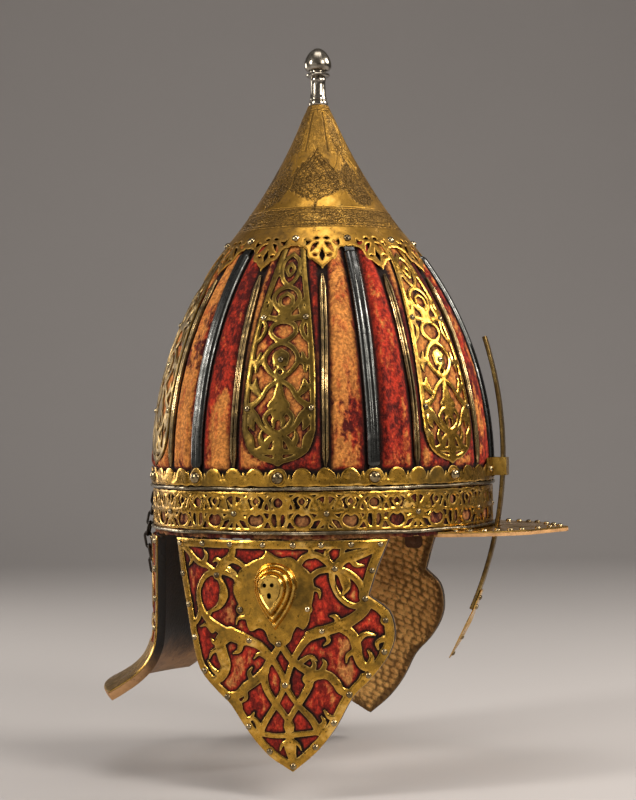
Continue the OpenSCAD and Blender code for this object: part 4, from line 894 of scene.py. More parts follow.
def bowl_spots(places, off):
    """Places (angle, height) on the bowl at an offset, with their outward directions."""
    return [seat(on_bowl, theta, z, off) for theta, z in places]


def drum_spots(places, r):
    """Places (angle, height) on a drum of radius r, with their outward directions."""
    return [((r * math.cos(t), r * math.sin(t), z), (math.cos(t), math.sin(t), 0)) for t, z in places]


def make_bowl_rivets():
    """Rivets of the cap, the bands, the panels and the nasal's bracket."""
    round_bowl = np.radians(30 * np.arange(12))
    cap = bowl_spots([(t, CAP_RIVET_Z) for t in round_bowl], 1.95)
    band = drum_spots([(t, BAND_RIVET_Z) for t in round_bowl], 107.95)
    brow = drum_spots([(t + math.radians(15), BROW_RIVET_Z) for t in round_bowl], 106.95)
    panel = bowl_spots([(turn + math.asin(x / float(bowl_radius(y))), y)
                        for turn in PANEL_ANGLES for x, y in PANEL_SPOTS], 1.1)
    side = math.asin(10.5 / BOWL_R)
    bracket = drum_spots([(side, 35.0), (-side, 35.0)], 109.05)
    for name, spots, radius, height, node in (
            ("cap", cap, 2.5, 2.0, "cap"), ("strip", band, 3.5, 2.7, "band"), ("brow", brow, 1.8, 1.3, "brow"),
            ("panel", panel, 1.9, 1.5, "panel"), ("bracket", bracket, 2.3, 1.6, "bracket")):
        rivets(f"{name}_rivet_heads", spots, radius, height, "helmet", f"{node}_rivets")


# Bands


def fold_angle(theta, pitch):
    """Distance in angle from the nearest multiple of the pitch."""
    return (theta + pitch / 2) % pitch - pitch / 2


def wrapped_field(theta, z, radius, pitch_deg, lines, soften=0.6):
    """A drawing repeated round a drum: drawn once over one pitch, with its neighbours, and looked up by angle."""
    pitch = math.radians(pitch_deg)
    u = steps(-radius * pitch / 2 - 1, radius * pitch / 2 + 1, 0.25)
    width = radius * pitch
    near = lines + [s + [width, 0, 0] for s in lines] + [s - [width, 0, 0] for s in lines]
    one = draw(u, z, near, soften)
    x = fold_angle(theta, pitch) * radius
    i, t = between(u, x)
    t = t[:, None]
    return one[i] * (1 - t) + one[i + 1] * t


def bar(x0, z0, x1, z1, w):
    """A straight strip of one half width."""
    return np.array([[x0, z0, w], [x1, z1, w]], float)


def arc(cx, cz, rx, rz, a0, a1, w, n=14):
    """A strip of one half width along part of an ellipse, between two angles in degrees."""
    a = np.radians(np.linspace(a0, a1, n))
    return np.column_stack([cx + rx * np.cos(a), cz + rz * np.sin(a), np.full(n, w)])


def make_scallops():
    """Lobed strip: discs 5.8 mm in radius on a straight foot, one at each 7.5 degrees, with pointed cusps."""
    r = 107.9
    n = 1008
    theta = around(n)
    z = steps(28.0, 39.0, 0.5)
    foot = bar(-9, 29.4, 9, 29.4, 1.15)
    lobe = [np.array([[0, 32.8, 5.75], [0.02, 32.8, 5.75]]), bar(-9, 30.4, 9, 30.4, 1.9), foot]
    cusp = [np.array([[s * 7.06, 31.0, 1.5], [s * 7.06, 34.0, 0.8], [s * 7.06, 36.2, 0.2]]) for s in (-1, 1)]
    field = wrapped_field(theta, z, r, 7.5, lobe + cusp, 0.35)
    field = np.minimum(field, (z - 28.4)[None] + 0.02)
    field += 0.22 * wander(theta[:, None], z[None], 12, (20, 90), (0, 0.2), 8)
    points, faces, values = pierced(theta, z, field, on_drum, SCALLOP_R, sheet_height(SCALLOP_R, 0.78), wrap=True)
    t = np.arctan2(points[:, 1], points[:, 0])
    x = fold_angle(t, math.radians(30)) * r
    values["chase"] = np.minimum(np.abs(np.hypot(x, points[:, 2] - BAND_RIVET_Z) - 4.6), 3.0)
    gild("lobed_strip", (points, faces, values), gilt, "helmet", "scallop_band")


BROW_LINES = mirror_lines([
    arc(0, 14.4, 9.4, 9.4, 8, 90, 1.15), arc(14, 14.4, 9.0, 9.4, 0, 180, 1.15), arc(28, 14.4, 9.4, 9.4, 90, 172, 1.15),
    *strips("""
0.7 0.9 0.9: 0 22.8, 3.4 20.4, 3.2 16.6, 0.4 14.8
0.8 0.8 0.8: 14 22.8, 16.6 19.8, 14 16.6, 11.4 19.8, 14 22.8
0.8 2.0 2.6: 14 17, 14 15.4, 14 13.6
1.8 1.2 1.3: 0 14, 5 13.6, 9.4 14.2
1.3 1.2 1.2: 9.4 14.2, 14 14.6, 19 14.0
1.2 1.5 2.6: 19 14, 23 13.4, 28 14
1.8 1.2 1.3: 0 13.6, 0 9, 0 5
1.2 1.1 1.0: 4.6 13.4, 5.2 9, 3.4 4.8, 0 4
"""),
    arc(14, 8.8, 5.9, 4.9, -180, 180, 1.05, 26),
    *strips("""
1.0 1.0 1.0: 5.2 9, 8.2 8.6
3.0 1.6 0.9: 28 12.5, 23.4 10.4, 20 8.8
2.6 1.2 0.8: 28 12.5, 25.4 7.4, 22.6 4.2
2.6 1.3 1.0: 28 12.5, 28 8, 28 3.6
2.0 1.3 0.7: 28 14, 25 17.6, 23.4 20.4
2.0 1.4 0.9: 28 14, 28 18, 28 23
0.3 0.9 1.0: 21.0 22, 21.4 19.4, 21 16
"""),
    bar(0, 24.1, 29, 24.1, 0.95), bar(0, 3.5, 29, 3.5, 0.85),
])


def make_brow():
    """Pierced brow band: arches over round and slit openings, mirrored and repeated each 30 degrees."""
    n = 912
    theta = around(n)
    z = steps(2.3, 25.5, 0.56)
    field = wrapped_field(theta, z, 106.9, 30, bolder(BROW_LINES, 0.9), 0.6)
    field = np.minimum(field, np.minimum(z - 2.6, 25.2 - z)[None])
    field += 0.2 * wander(theta[:, None], z[None], 14, (10, 80), (0, 0.3), 5)
    sheet = pierced(theta, z, field, on_drum, BROW_R, sheet_height(BROW_R, 0.8), wrap=True)
    gild("pierced_brow_band", sheet, gilt, "helmet", "brow_band")
    # Velvet strip behind it, rumpled, with a frayed hem that hangs below the lower moulding
    n, rows = 540, 30
    t = around(n)[:, None]
    torn, threads = wander(t, 0 * t, 30, (30, 160), (0, 0.01), 15), wander(t, 0 * t, 20, (160, 300), (0, 0.01), 16)
    hem = np.clip(-1.85 + 0.4 * torn + 0.2 * threads, -2.4, -1.0)
    k = np.linspace(0, 1, rows)[None]
    y = hem + (25.7 - hem) * k
    h = 105.65 + 0.3 * wander(t, y, 24, (20, 110), (0, 0.5), 11)
    outer, inner = on_drum(t, y, np.minimum(h, 106.05)), on_drum(t, y, 104.6 + 0 * h)
    points = both_sides(outer, inner)
    # The swell mask paints shade on the cloth round the band's openings and along its rumples
    shut = wrapped_field(t[:, 0], np.linspace(-1.6, 25.7, rows), 106.9, 30, bolder(BROW_LINES, 0.9), 0.6)
    creases = 0.2 * wander(t, y, 20, (20, 110), (0, 0.5), 11)
    raised = 0.1 + 0.75 * smoothstep(-shut, -0.3, 2.2) + creases
    raised = np.clip(np.where(y < 1.5, 0.6 + creases, raised), 0.04, 1)
    values = {"raised": both_sides(raised, raised).ravel(), "worn": np.full(2 * n * rows, 0.75)}
    piece = build("brow_band_velvet", points, [grid_faces(n, 2 * rows, True, True)], band_cloth, 60, values)
    dress(piece, "helmet", "velvet_red", "band_backing")


def make_wires():
    """Mouldings above and below the brow band: rounds bent and dented by hand."""
    parts = []
    for z0, r0, w, seed in ((26.8, 107.5, 1.0, 21), (1.4, 107.3, 1.05, 22)):
        a = around(12)
        profile = np.stack([r0 + w * np.cos(a), z0 + w * np.sin(a)], 1)

        def wobble(t, z, seed=seed):
            return (0.12 * wander(t, 0 * z, 8, (5, 40), (0, 0.01), seed),
                    0.26 * wander(t, 0 * z, 8, (3, 18), (0, 0.01), seed + 7))

        parts.append(turned(profile, 540, wobble))
    points, faces, _ = join(parts)
    dress(build("band_mouldings", points, faces, moulding, 60), "helmet", "bright_steel", "band_wires")


# Cap and finial


CAP_TURN = math.radians(80)
# The cap's engraved lines, as a share of an eighth of its girth and a height: four in the lowest band, then pointed
# medallions with a palmette, and half medallions between them
CAP_LINES = """
0.0 192.4, 0.28 192.2, 0.46 189.8, 0.28 187.2, 0.0 187.0
1.0 192.6, 0.74 192.0, 0.58 189.6, 0.74 187.4, 1.0 186.8
0.12 189.6, 0.24 190.8, 0.34 189.4, 0.22 188.4
0.46 189.8, 0.52 191.6, 0.58 189.6
0.0 234.5, 0.2 228.0, 0.5 221.0, 0.56 213.0, 0.36 206.0, 0.16 203.0, 0.0 199.0
0.0 229.5, 0.24 222.0, 0.36 214.0, 0.22 208.5, 0.0 204.5
0.0 222.0, 0.16 217.5, 0.0 213.5
0.0 213.5, 0.2 212.0, 0.24 216.0, 0.14 217.5
1.0 226.0, 0.82 219.5, 0.74 210.0, 0.84 202.0, 1.0 198.6
1.0 218.0, 0.88 213.0, 0.92 206.0, 1.0 203.5
0.5 221.0, 0.66 226.0, 0.8 233.0, 1.0 238.5
1.0 232.0, 0.8 238.0, 0.72 242.0
"""


def cap_chase(theta, z):
    """Distance from the cap's engraved lines. A quarter of the cap is drawn in width and height; width is
    measured along the cap, and strips narrow with it."""
    r = cap_radius(z)[None]
    x = np.abs(fold_angle(theta + CAP_TURN, math.radians(90)))[:, None] * r
    y = z[None] + 0 * x
    gap = np.full(x.shape, 3.0)

    for level in (183.2, 184.8, 194.6, 196.0, 261.6):
        gap = np.minimum(gap, np.abs(y - level) + 0 * x)
    for row in CAP_LINES.strip().splitlines():
        p = smooth_line(places_of(row), 6)
        px = p[:, 0] * math.radians(45) * cap_radius(p[:, 1])
        for a, b, c, d in zip(px, p[:, 1], px[1:], p[1:, 1]):
            dx, dy = c - a, d - b
            t = np.clip(((x - a) * dx + (y - b) * dy) / max(dx * dx + dy * dy, 1e-9), 0, 1)
            gap = np.minimum(gap, np.hypot(x - a - t * dx, y - b - t * dy))
    # Upright flutes below the top ring
    flute = np.abs(x - math.radians(19.5) * r) * 0.6
    return np.where((y > 233) & (y < 260.6), np.minimum(gap, flute), gap)


def cap_worked(theta, z):
    """Where the cap is worked all over: the lowest band, the pointed medallions and the half ones between them."""
    x = np.abs(fold_angle(theta + CAP_TURN, math.radians(90)))[:, None] / math.radians(45)
    y = z[None] + 0 * x
    whole = np.interp(y, [200, 204, 208, 216, 224, 230, 237], [0, 0.34, 0.6, 0.74, 0.52, 0.24, 0]) - x
    half = np.interp(y, [196, 202, 210, 219, 231], [0, 0.3, 0.42, 0.34, 0]) - (1 - x)
    ragged = 0.05 * wander(theta[:, None], y, 20, (10, 60), (0.1, 0.6), 19)
    band = smoothstep(y, 182.6, 184.6) * smoothstep(196.2 - y, 0, 2)
    sprays = (0.3 + 0.4 * smoothstep(x, 0.62, 0.76)) * smoothstep(y, 228, 236)
    return np.maximum(np.maximum(smoothstep(np.maximum(whole, half) + ragged, -0.04, 0.08), 0.75 * band), sprays)


def make_cap():
    """Cap: a hollowed cone of one sheet with engraved lines cut 0.16 mm deep, and dents from use."""
    n, rows = 396, 144
    theta = around(n)
    z = np.concatenate([np.linspace(179.2, 262, rows - 8), np.linspace(262.6, 265, 8)])
    chase = cap_chase(theta, z)
    r = np.where(z[None] < CAP_FOOT, bowl_radius(z, STRIP_OUT)[None], cap_radius(z)[None])
    dents = 0.22 * wander(theta[:, None], z[None], 16, (2, 9), (0.02, 0.09), 31)
    cut = 0.16 * smoothstep(0.55 - chase, 0, 0.5)
    bead = 0.35 * np.exp(-(((z - 195.3) / 0.8) ** 2)) - 0.7 * smoothstep(z, 255, 265)
    out = r + dents * smoothstep(z, 181, 190)[None] * smoothstep(264 - z, 0, 8)[None] - cut + bead[None]
    t = theta[:, None]
    outer = on_drum(t, z[None], out)
    m = 24
    zi = np.linspace(264.2, 179.2, m)
    ri = np.where(zi < CAP_FOOT, bowl_radius(zi, STRIP_IN), cap_radius(np.maximum(zi, CAP_FOOT)) - 0.95)
    ri[0] = 2.6
    points = np.concatenate([outer, on_drum(t, 265.0, 2.6), on_drum(t, zi, ri)], 1)
    values = {"rim": np.full(points.shape[:2], 3.0), "chase": np.full(points.shape[:2], 3.0)}
    values["chase"][:, :rows] = chase
    values["worked"] = np.zeros(points.shape[:2])
    values["worked"][:, :rows] = cap_worked(theta, z)
    values = {k: x.ravel() for k, x in values.items()}
    piece = build("engraved_cap", points, [grid_faces(n, points.shape[1], True, True)], gilt_cap, 50, values)
    dress(piece, "helmet", "gilt", "crown_cap")


def make_border():
    """Pierced border of the cap: ogee leaves hanging between the rivets, each with four openings."""
    n = 780
    theta = around(n)
    z = steps(153.4, 181.0, 0.5)
    r = 65.0
    half = math.radians(15) * r
    u = steps(-half - 1, half + 1, 0.22)
    leaf = np.array([[0, 153.8], [0.9, 156.4], [3.2, 158.6], [5.0, 160.6], [7.4, 161.2], [8.6, 163.4], [9.2, 166.6],
                     [11.4, 168.8], [13.4, 168.9], [14.6, 169.8], [half + 2, 169.8], [half + 2, 182]])
    outline = mirrored(leaf)
    one = inside(u, z, outline)
    holes = mirror_lines(strips("""
0.3 1.5 0.3: 0 167.5, 0 163.6, 0 160.4
0.4 1.4 0.5: 2.2 171.4, 4.6 169.6, 6.6 166.2
0.5 0.9 0.4: 3.2 163.4, 5.4 163.6
0.5 1.3 0.3: 7.6 172.2, 10.0 171.4, 11.0 173.6
0.4 1.0 0.5: 1.8 174.6, 4.6 174.4
"""))
    rivet = np.array([[half, 174, 4.3], [half + 0.02, 174, 4.3]])
    one = np.minimum(one, -draw(u, z, holes, 0.3))
    one = draw(u, z, [rivet, rivet * [-1, 1, 1]], 0.6, one)
    x = fold_angle(theta - math.radians(15), math.radians(30)) * r
    i, t = between(u, x)
    t = t[:, None]
    field = one[i] * (1 - t) + one[i + 1] * t
    field += 0.14 * wander(theta[:, None], z[None], 12, (10, 60), (0, 0.3), 12)
    sheet = pierced(theta, z, field, on_bowl, STRIP_IN, sheet_height(STRIP_IN, 0.8), wrap=True)
    gild("cap_border", sheet, gilt_cap, "helmet", "crown_cap")


def make_finial():
    """Finial: a turned socket and an acorn knob of polished steel."""
    z0 = 265.1
    stem = [[0, z0], [5.7, z0], [6.1, z0 + 0.5], [6.2, z0 + 1.5], [5.9, z0 + 2.6], [5.2, z0 + 3.1], [5.0, z0 + 3.5],
            [5.5, z0 + 4.1], [5.5, z0 + 4.9], [5.1, z0 + 5.6], [4.9, z0 + 9], [4.7, z0 + 13], [4.75, z0 + 15.8],
            [5.1, z0 + 16.3], [5.1, z0 + 17.2], [4.7, z0 + 17.8], [4.6, z0 + 18.5], [0, z0 + 18.5]]
    points, faces = capped(stem, 48)
    radial = np.hypot(points[:, 0], points[:, 1])
    turn = np.arctan2(points[:, 1], points[:, 0])
    facet = 1 - 0.02 * smoothstep(points[:, 2], z0 + 5.6, z0 + 6.4) * smoothstep(z0 + 16 - points[:, 2], 0, 0.8) * (
        1 - np.abs(np.cos(4 * turn)))
    points[:, :2] *= np.where(radial > 0, facet, 1)[:, None]
    dress(build("turned_socket", points, faces, silver, 35), "helmet", "bright_steel", "finial_socket")
    z1 = z0 + 18.6
    k = smooth_line([[5.0, z1 + 3.4], [6.9, z1 + 3.8], [8.2, z1 + 5.4], [8.65, z1 + 7.6], [8.2, z1 + 10.2],
                     [7.1, z1 + 12.8], [5.4, z1 + 15.4], [3.0, z1 + 17.4], [1.2, z1 + 18.2]], 4)
    knob = np.vstack([[[0, z1], [6.9, z1], [7.5, z1 + 0.4], [7.6, z1 + 1.1], [7.2, z1 + 1.8], [5.6, z1 + 2.3],
                       [5.0, z1 + 2.9]], k, [[0, z1 + 18.35]]])
    points, faces = capped(knob, 56)
    dress(build("acorn_knob", points, faces, silver, 35), "helmet", "bright_steel", "finial_knob")


# Peak and nasal

PEAK_HALF = np.array([[0.0, 0.0], [105.6 * math.cos(math.radians(36.5)), 105.6 * math.sin(math.radians(36.5))]])
PEAK_ARC = np.array([[78 + 76 * math.cos(a), -12 + 76 * math.sin(a)] for a in np.radians(np.linspace(85, 41.2, 24))])
PEAK_OUTLINE = mirrored(np.vstack([PEAK_HALF, PEAK_ARC, [[154.0, 0.6]]]), (1, -1))


def flat(x, y, h):
    """A level place at height h."""
    return np.stack([x, y, h + 0 * x], -1)


def make_peak():
    """Peak: a flat plate with a raised rim and engraved scrolls, and the flange that holds it in the bowl."""
    x, y = steps(80.0, 155.0, 0.7), steps(-65.4, 65.4, 0.7)
    edge = inside(x, y, PEAK_OUTLINE)
    field = np.minimum(edge, np.hypot(x[:, None], y[None]) - 102.4)
    slot = np.maximum(np.abs(x[:, None] - 110.1) - 2.6, np.abs(y[None]) - 4.45)
    chase = np.minimum(np.abs(edge - 8.2), np.abs(edge - 9.8))
    scrolls = mirror_lines(strips("""
0 0 0: 118 0, 124 6, 132 8, 136 3
0 0 0: 124 6, 122 16, 128 22, 134 18
0 0 0: 122 16, 112 22, 110 32, 118 36, 122 30
0 0 0: 110 32, 102 38, 98 48, 104 52, 110 46
0 0 0: 118 36, 120 44, 114 52
0 0 0: 112 22, 110 12, 116 8
"""))
    scrolls += [s * [1, -1, 1] for s in scrolls]
    scrolls = [s for s in scrolls if s[:, 0].min() > 0]
    chase = np.minimum(chase, -draw(x, y, scrolls, 0.01))
    plate = pierced(x, y, np.minimum(field, slot), flat, -1.2, sheet_height(-0.2, 0.0, 0.2, 0.6),
                    extra={"chase": chase})
    t = np.radians(np.linspace(-35.4, 35.4, 60))[:, None]
    ring = np.array([[101.8, -1.2], [102.8, -1.2], [102.8, 18.9], [101.8, 18.9]])
    points = on_drum(t, ring[None, :, 1], ring[None, :, 0])
    ends = [np.array([[3, 2, 1, 0]]), 59 * 4 + np.array([[0, 1, 2, 3]])]
    plain = {"rim": np.full(240, 3.0), "chase": np.full(240, PLAIN)}
    flange = (points.reshape(-1, 3), [grid_faces(60, 4, False, True)] + ends, plain)
    gild("engraved_peak", join([plate, flange]), gilt, "helmet", "peak_plate")
    spots, r = [], 72.0
    for s in (-1, 1):
        spots += [(78 + r * math.cos(a), s * (r * math.sin(a) - 12)) for a in np.radians(77 - 6.8 * np.arange(6))]
        bend = np.array([78 + r * math.cos(math.radians(41.2)), s * (r * math.sin(math.radians(41.2)) - 12)])
        spots += [tuple(bend + k * (np.array([149.0, 0]) - bend)) for k in (0.36, 0.7)]
    spots.append((149.0, 0.0))
    rivets("peak_rivet_heads", [((a, b, -0.15), (0, 0, 1)) for a, b in spots], 1.9, 1.4, "helmet", "peak_rivets")


NASAL_X, NASAL_Z = -125.2, 46.0


def on_nasal(y, s, h):
    """Width y and angle s (degrees) on the nasal's circle, at radius h."""
    a = np.radians(s)
    return np.stack([NASAL_X + h * np.cos(a), y + 0 * a, NASAL_Z + h * np.sin(a)], -1)


def make_nasal():
    """Nasal: a bar with softened edges bent along a circle, and the pierced leaf riveted to its foot."""
    s = np.linspace(-24.0, 17.1, 90)
    c, t = 0.55, 1.2
    corner = np.array([[-4, -t + c], [-4 + c, -t], [4 - c, -t], [4, -t + c], [4, t - c], [4 - c, t - 0.1], [1.2, t],
                       [0, t - 0.35], [-1.2, t], [-4 + c, t - 0.1], [-4, t - c]])
    section = np.repeat(corner[None], len(s), 0)
    top = smoothstep(17.4 - s, 0, 0.8)
    section[..., 0] *= (0.8 + 0.2 * top)[:, None]
    middle = on_nasal(np.zeros(len(s)), s, NASAL_R)
    outward = on_nasal(np.zeros(len(s)), s, NASAL_R + 1) - middle
    points, faces = swept(middle, outward, np.tile([0.0, 1.0, 0.0], (len(s), 1)), section)
    dress(build("curved_nasal_bar", points, faces, bronze, 40), "nasal", "brass_strip", "nasal_bar")
    top_z, low_z = NASAL_R * math.sin(math.radians(-20.9)), NASAL_R * math.sin(math.radians(-32.3))
    ends = places_of("0.3 0, 0.42 0.04, 0.55 0.16, 0.5 0.26, 0.9 0.4, 1 0.56, 0.8 0.74, 0.4 0.88, 0.04 1")
    edge = np.array([(w * 11.0, NASAL_Z + top_z + (low_z - top_z) * k) for w, k in ends])
    edge = np.vstack([edge[:2], smooth_line(edge[2:], 3)])
    outline = mirrored(edge)
    x, z = steps(-11.6, 11.6, 0.36), steps(edge[:, 1].min() - 0.6, edge[:, 1].max() + 0.6, 0.36)
    whole = inside(x, z, outline)
    z_at = lambda k: NASAL_Z + top_z + (low_z - top_z) * k
    holes = mirror_lines([tapered([(4.6, z_at(0.38)), (6.4, z_at(0.5)), (4.0, z_at(0.6))], 0.5, 1.9, 0.5),
                          tapered([(2.2, z_at(0.62)), (4.8, z_at(0.7)), (3.0, z_at(0.82))], 0.4, 1.6, 0.4),
                          tapered([(1.8, z_at(0.42)), (2.4, z_at(0.5))], 0.3, 0.7, 0.3)])
    field = np.minimum(whole, -draw(x, z, holes, 0.3))

    def place(y, level, h):
        return on_nasal(y, np.degrees(np.arcsin((level - NASAL_Z) / 241.5)), h)

    sheet = pierced(x, z, field, place, 241.3, sheet_height(241.3, 0.8))
    gild("pierced_nasal_leaf", sheet, gilt, "nasal", "nasal_leaf")
    spots = [seat(on_nasal, 0, a, 242.15) for a in (-22, -23.5, -28.4, -31.2)]
    rivets("nasal_rivet_heads", spots, 1.7, 1.2, "nasal", "nasal_rivets")


# Cheekpieces

CHEEK_BACK = [(-71.5, -3), (-67.5, -24), (-63, -44), (-59, -62), (-53.5, -79), (-41.5, -90.5), (-31.5, -98.5),
              (-20, -113.5), (-8, -126), (6.5, -135)]
CHEEK_LOWER = [(6.5, -135), (20, -123.5), (31, -109.5), (40, -93), (51, -81.5), (59.5, -69), (62.5, -57), (59.5, -44),
               (49, -35)]
CHEEK_FRONT = [(49, -35), (54, -18.5), (60, -3)]
CHEEK_OUTLINE = np.vstack([smooth_line(CHEEK_BACK, 3), smooth_line(CHEEK_LOWER, 3)[1:],
                           smooth_line(CHEEK_FRONT, 3)[1:]])
CARTOUCHE = smooth_line(places_of("""
    -8 -8.5, 0 -13, 6.5 -12.5, 12 -16.5, 17.5 -21.5, 19.6 -28.5, 19 -36, 17.6 -42.5, 16.5 -49, 13.5 -53.5,
    9.8 -52, 7.2 -56, 5.4 -60.5, 0 -63.8, -6 -61.2, -9 -55, -13 -53.2, -18.6 -55, -21.5 -47, -25.5 -40,
    -29 -32.5, -27.4 -25, -23 -18.6, -16 -14.6, -10.6 -12.6, -8 -8.5"""), 3)[:-1]
CHEEK_LINES = strips("""
1.5 1.35 3.2: -25 -27, -29 -23.6, -35 -21.6, -42 -21.6, -49 -25, -53.6 -33, -52.6 -42, -47 -49.6, -39 -54.6, -31 -58, \
-23 -60
3.4 1.5 1.3: -31 -57, -22 -60, -14 -62.6, -8 -67, -3 -73.6, 0.6 -79.6, 2.5 -85.5
0.8 2.6 0.5: -40 -23.5, -36.4 -29, -35.6 -35, -39 -41.6, -46.6 -45.6
1.4 1.5 1.2: -67.5 -6, -60 -11.6, -53.6 -16.4, -47 -18.4, -40 -22.6
1.3 0.9 0.3: -60 -11.6, -59 -16, -61 -19
1.5 1.0 0.3: -50 -17.6, -47.5 -12.6, -49.5 -9
2.6 2.2 1.4: -40 -22.6, -36 -17, -31.5 -13.6, -29.4 -9, -29.6 -4.6
1.6 1.2 0.3: -36 -17.4, -40 -14.6, -43 -16
1.7 1.3 1.2: -32 -13.6, -25.6 -15.6, -21 -18.6
1.4 1.3 1.4: -52 -44, -55 -51, -61 -55
1.2 1.0 0.3: -51.6 -45.6, -47 -47.6, -43.6 -44
3.4 3.2 1.8: -33 -57.6, -38.4 -62.6, -37 -69.6, -34.8 -76, -38.6 -83, -46 -86
1.8 1.2 0.3: -38.4 -61, -42.6 -63, -45 -60.6
1.6 1.1 0.4: -38 -81.6, -43.6 -79, -47.6 -74
2.0 1.3 0.3: -24 -60, -25.6 -66.4, -29.6 -68.6
1.5 1.9 1.2: 0 -62, -4 -68.4, -8.4 -74.6, -10 -80, -9 -87, -4.6 -94.6, 0.6 -101, 4 -106
1.5 2.0 1.2: 0 -62, 5 -69.4, 11 -74.6, 16 -78, 16.4 -85, 12.4 -92.6, 7.6 -100, 4 -106
2.2 1.5 1.2: 22 -54.6, 15.6 -59, 10.6 -65.5, 6.6 -73, 2.5 -85.5
1.3 1.3 1.6: 2.5 -85.5, -0.6 -92, -5 -99.6, -9.6 -106.6, -13 -113
1.3 1.3 1.8: 2.5 -85.5, 6.6 -92.4, 12 -99, 17.4 -104.6, 21.6 -112
2.6 2.6 2.6: 2.5 -85.5, 2.55 -85.5
1.2 1.2 1.4: -21 -111.6, -13 -113.6, -4 -114.6, 5 -114, 16 -112.8, 29 -111
1.2 2.6 1.4: 4 -104, 4.4 -109, 5 -114
1.4 3.0 1.4: 5 -114, 5.2 -121, 7 -131
2.2 2.4 1.8: -9.6 -77.6, -15 -83, -21.6 -87.6, -26.6 -92, -34 -93.6
1.5 1.0 0.3: -17 -84, -19.6 -79.6, -17.6 -76
1.4 1.0 0.3: -23 -89, -21.6 -93.6, -24.6 -96.6
2.6 2.0 1.8: 15.6 -82, 20.6 -79.6, 27 -79.8, 31.6 -84.4, 34.6 -89, 41 -90.6
1.6 1.1 0.3: 22.4 -79.6, 25.4 -73.6, 24 -70.6
1.5 1.0 0.3: 16.4 -80, 19.4 -74, 18 -70.6
1.6 1.1 0.3: -13 -111, -16 -106, -20.6 -105
1.6 1.1 0.3: 21 -111, 24.6 -106.6, 23 -103
1.4 1.1 0.4: -23.6 -107, -19 -105.6, -16.6 -102
1.3 1.2 0.4: 33 -104, 27.6 -103.6, 24.6 -99.6
1.4 1.5 1.8: 10.6 -17, 14.6 -12.4, 21 -11, 27 -14.6, 31.5 -19
1.4 1.3 1.6: 17.6 -24, 22 -20.6, 27 -19.6, 31.5 -19
1.4 1.3 1.5: 18.5 -11.6, 18.5 -4
1.5 1.1 0.3: 27.6 -14.6, 27 -9.6, 29.6 -7.6
2.2 2.6 1.4: 31.5 -19, 36.6 -13.6, 42.6 -11.6, 49 -9.6, 57 -5.6
1.6 1.1 0.3: 40 -12.6, 42.6 -17, 47 -17.6
1.4 1.0 0.3: 36 -14, 35.6 -9, 38.6 -7
1.5 1.6 1.6: 31.5 -19, 38 -21, 43.6 -26, 46.4 -31.6, 47.5 -37
1.4 1.3 1.5: 30 -19.6, 30 -26, 32.6 -33, 37.4 -38.6, 42.6 -40.6, 47.5 -38.6
1.2 2.4 0.4: 31.5 -19, 36 -24, 37.6 -29.6, 35.6 -34
2.4 2.8 2.4: 49 -36, 46.6 -43, 40 -48.6, 32.6 -52, 24.6 -54.6, 17 -57
1.6 1.2 0.4: 40 -48, 44.6 -47, 46.6 -43.6
1.6 1.1 0.3: 33.6 -51, 31.6 -46.6, 28.4 -46
2.4 2.2 1.8: 34 -52, 40 -56.6, 42.4 -63, 43.6 -70, 47 -75.6, 55 -74.6
1.6 1.3 0.4: 42.6 -61, 47 -57, 52.6 -57.6
1.5 1.1 0.3: 48 -76, 50.6 -70.6, 48.6 -66
1.4 1.1 0.4: 57 -60, 53.6 -62, 54 -66
1.4 1.2 0.8: 40 -90, 43.6 -85.6, 45.6 -80
""")
CHEEK_CURLS = strips("""
1.6 1.2 0.4: -28 -22, -32 -19.4, -35.6 -20
1.6 1.3 0.3: 18 -30, 22.4 -31.6, 23 -36
1.6 1.2 0.3: -21 -47, -26 -48, -27.6 -52
2.2 1.5 0.4: -44 -56, -48 -53, -53 -54.6
2.4 1.5 0.4: -38 -66, -44 -68.6, -46.4 -73
1.8 1.3 0.3: -8 -70, -13 -68, -16.4 -71
1.9 1.4 0.3: 12 -72, 17.4 -69, 21 -71.6
1.8 1.3 0.3: 26 -55, 27.6 -60, 24.6 -63
2.1 1.4 0.3: 42 -66, 38 -68.6, 37 -73
1.8 1.3 0.4: -28 -95, -25 -99, -26 -103
1.8 1.2 0.3: 5 -117, 9.6 -119, 11.6 -122.6
1.8 1.2 0.3: 5 -117, 0.6 -119.4, -1 -123
""")
CHEEK_EDGE_SPOTS = [(-68, -6), (-50, -5.4), (-31, -5.4), (-10, -5.4), (8, -5.4), (24, -5.4), (40.5, -5.4), (56, -5.6),
                    (-65.6, -24), (-61.2, -42), (-56.8, -61), (-49.5, -80), (-33.5, -93.8), (-20, -110), (-7, -123.6),
                    (6.8, -131.6), (19.6, -120.6), (30, -107), (38.6, -91), (48.8, -80.5), (57.2, -67.5), (58, -49.5),
                    (47.6, -36.6), (51.4, -20.5)]
CHEEK_INNER_SPOTS = [(-40, -23.5), (-24.5, -43), (16, -42), (-19, -60.5), (-1, -62), (24, -54.5), (31.5, -19),
                     (2.5, -85.5)]
BOSS_AT = np.array([-2.9, -30.4])


def cheek_field(x, z):
    """The cheekpiece's gilt sheet: a frame, a cartouche for the boss, scrolls, and a round seat at each rivet."""
    whole = inside(x, z, CHEEK_OUTLINE)
    field = np.minimum(whole, 4.6 - whole)
    field = blended_max(field, inside(x, z, CARTOUCHE), 0.8)
    field = draw(x, z, bolder(CHEEK_LINES, 1.14) + bolder(CHEEK_CURLS, 0.78), 0.8, field)
    seats = [spot(a, b, 2.7) for a, b in CHEEK_INNER_SPOTS] + [spot(a, b, 2.5) for a, b in CHEEK_EDGE_SPOTS]
    field = np.minimum(draw(x, z, seats, 0.6, field), 9.0 * (boss_share(x, z) - 0.62))
    return np.minimum(field, whole), whole


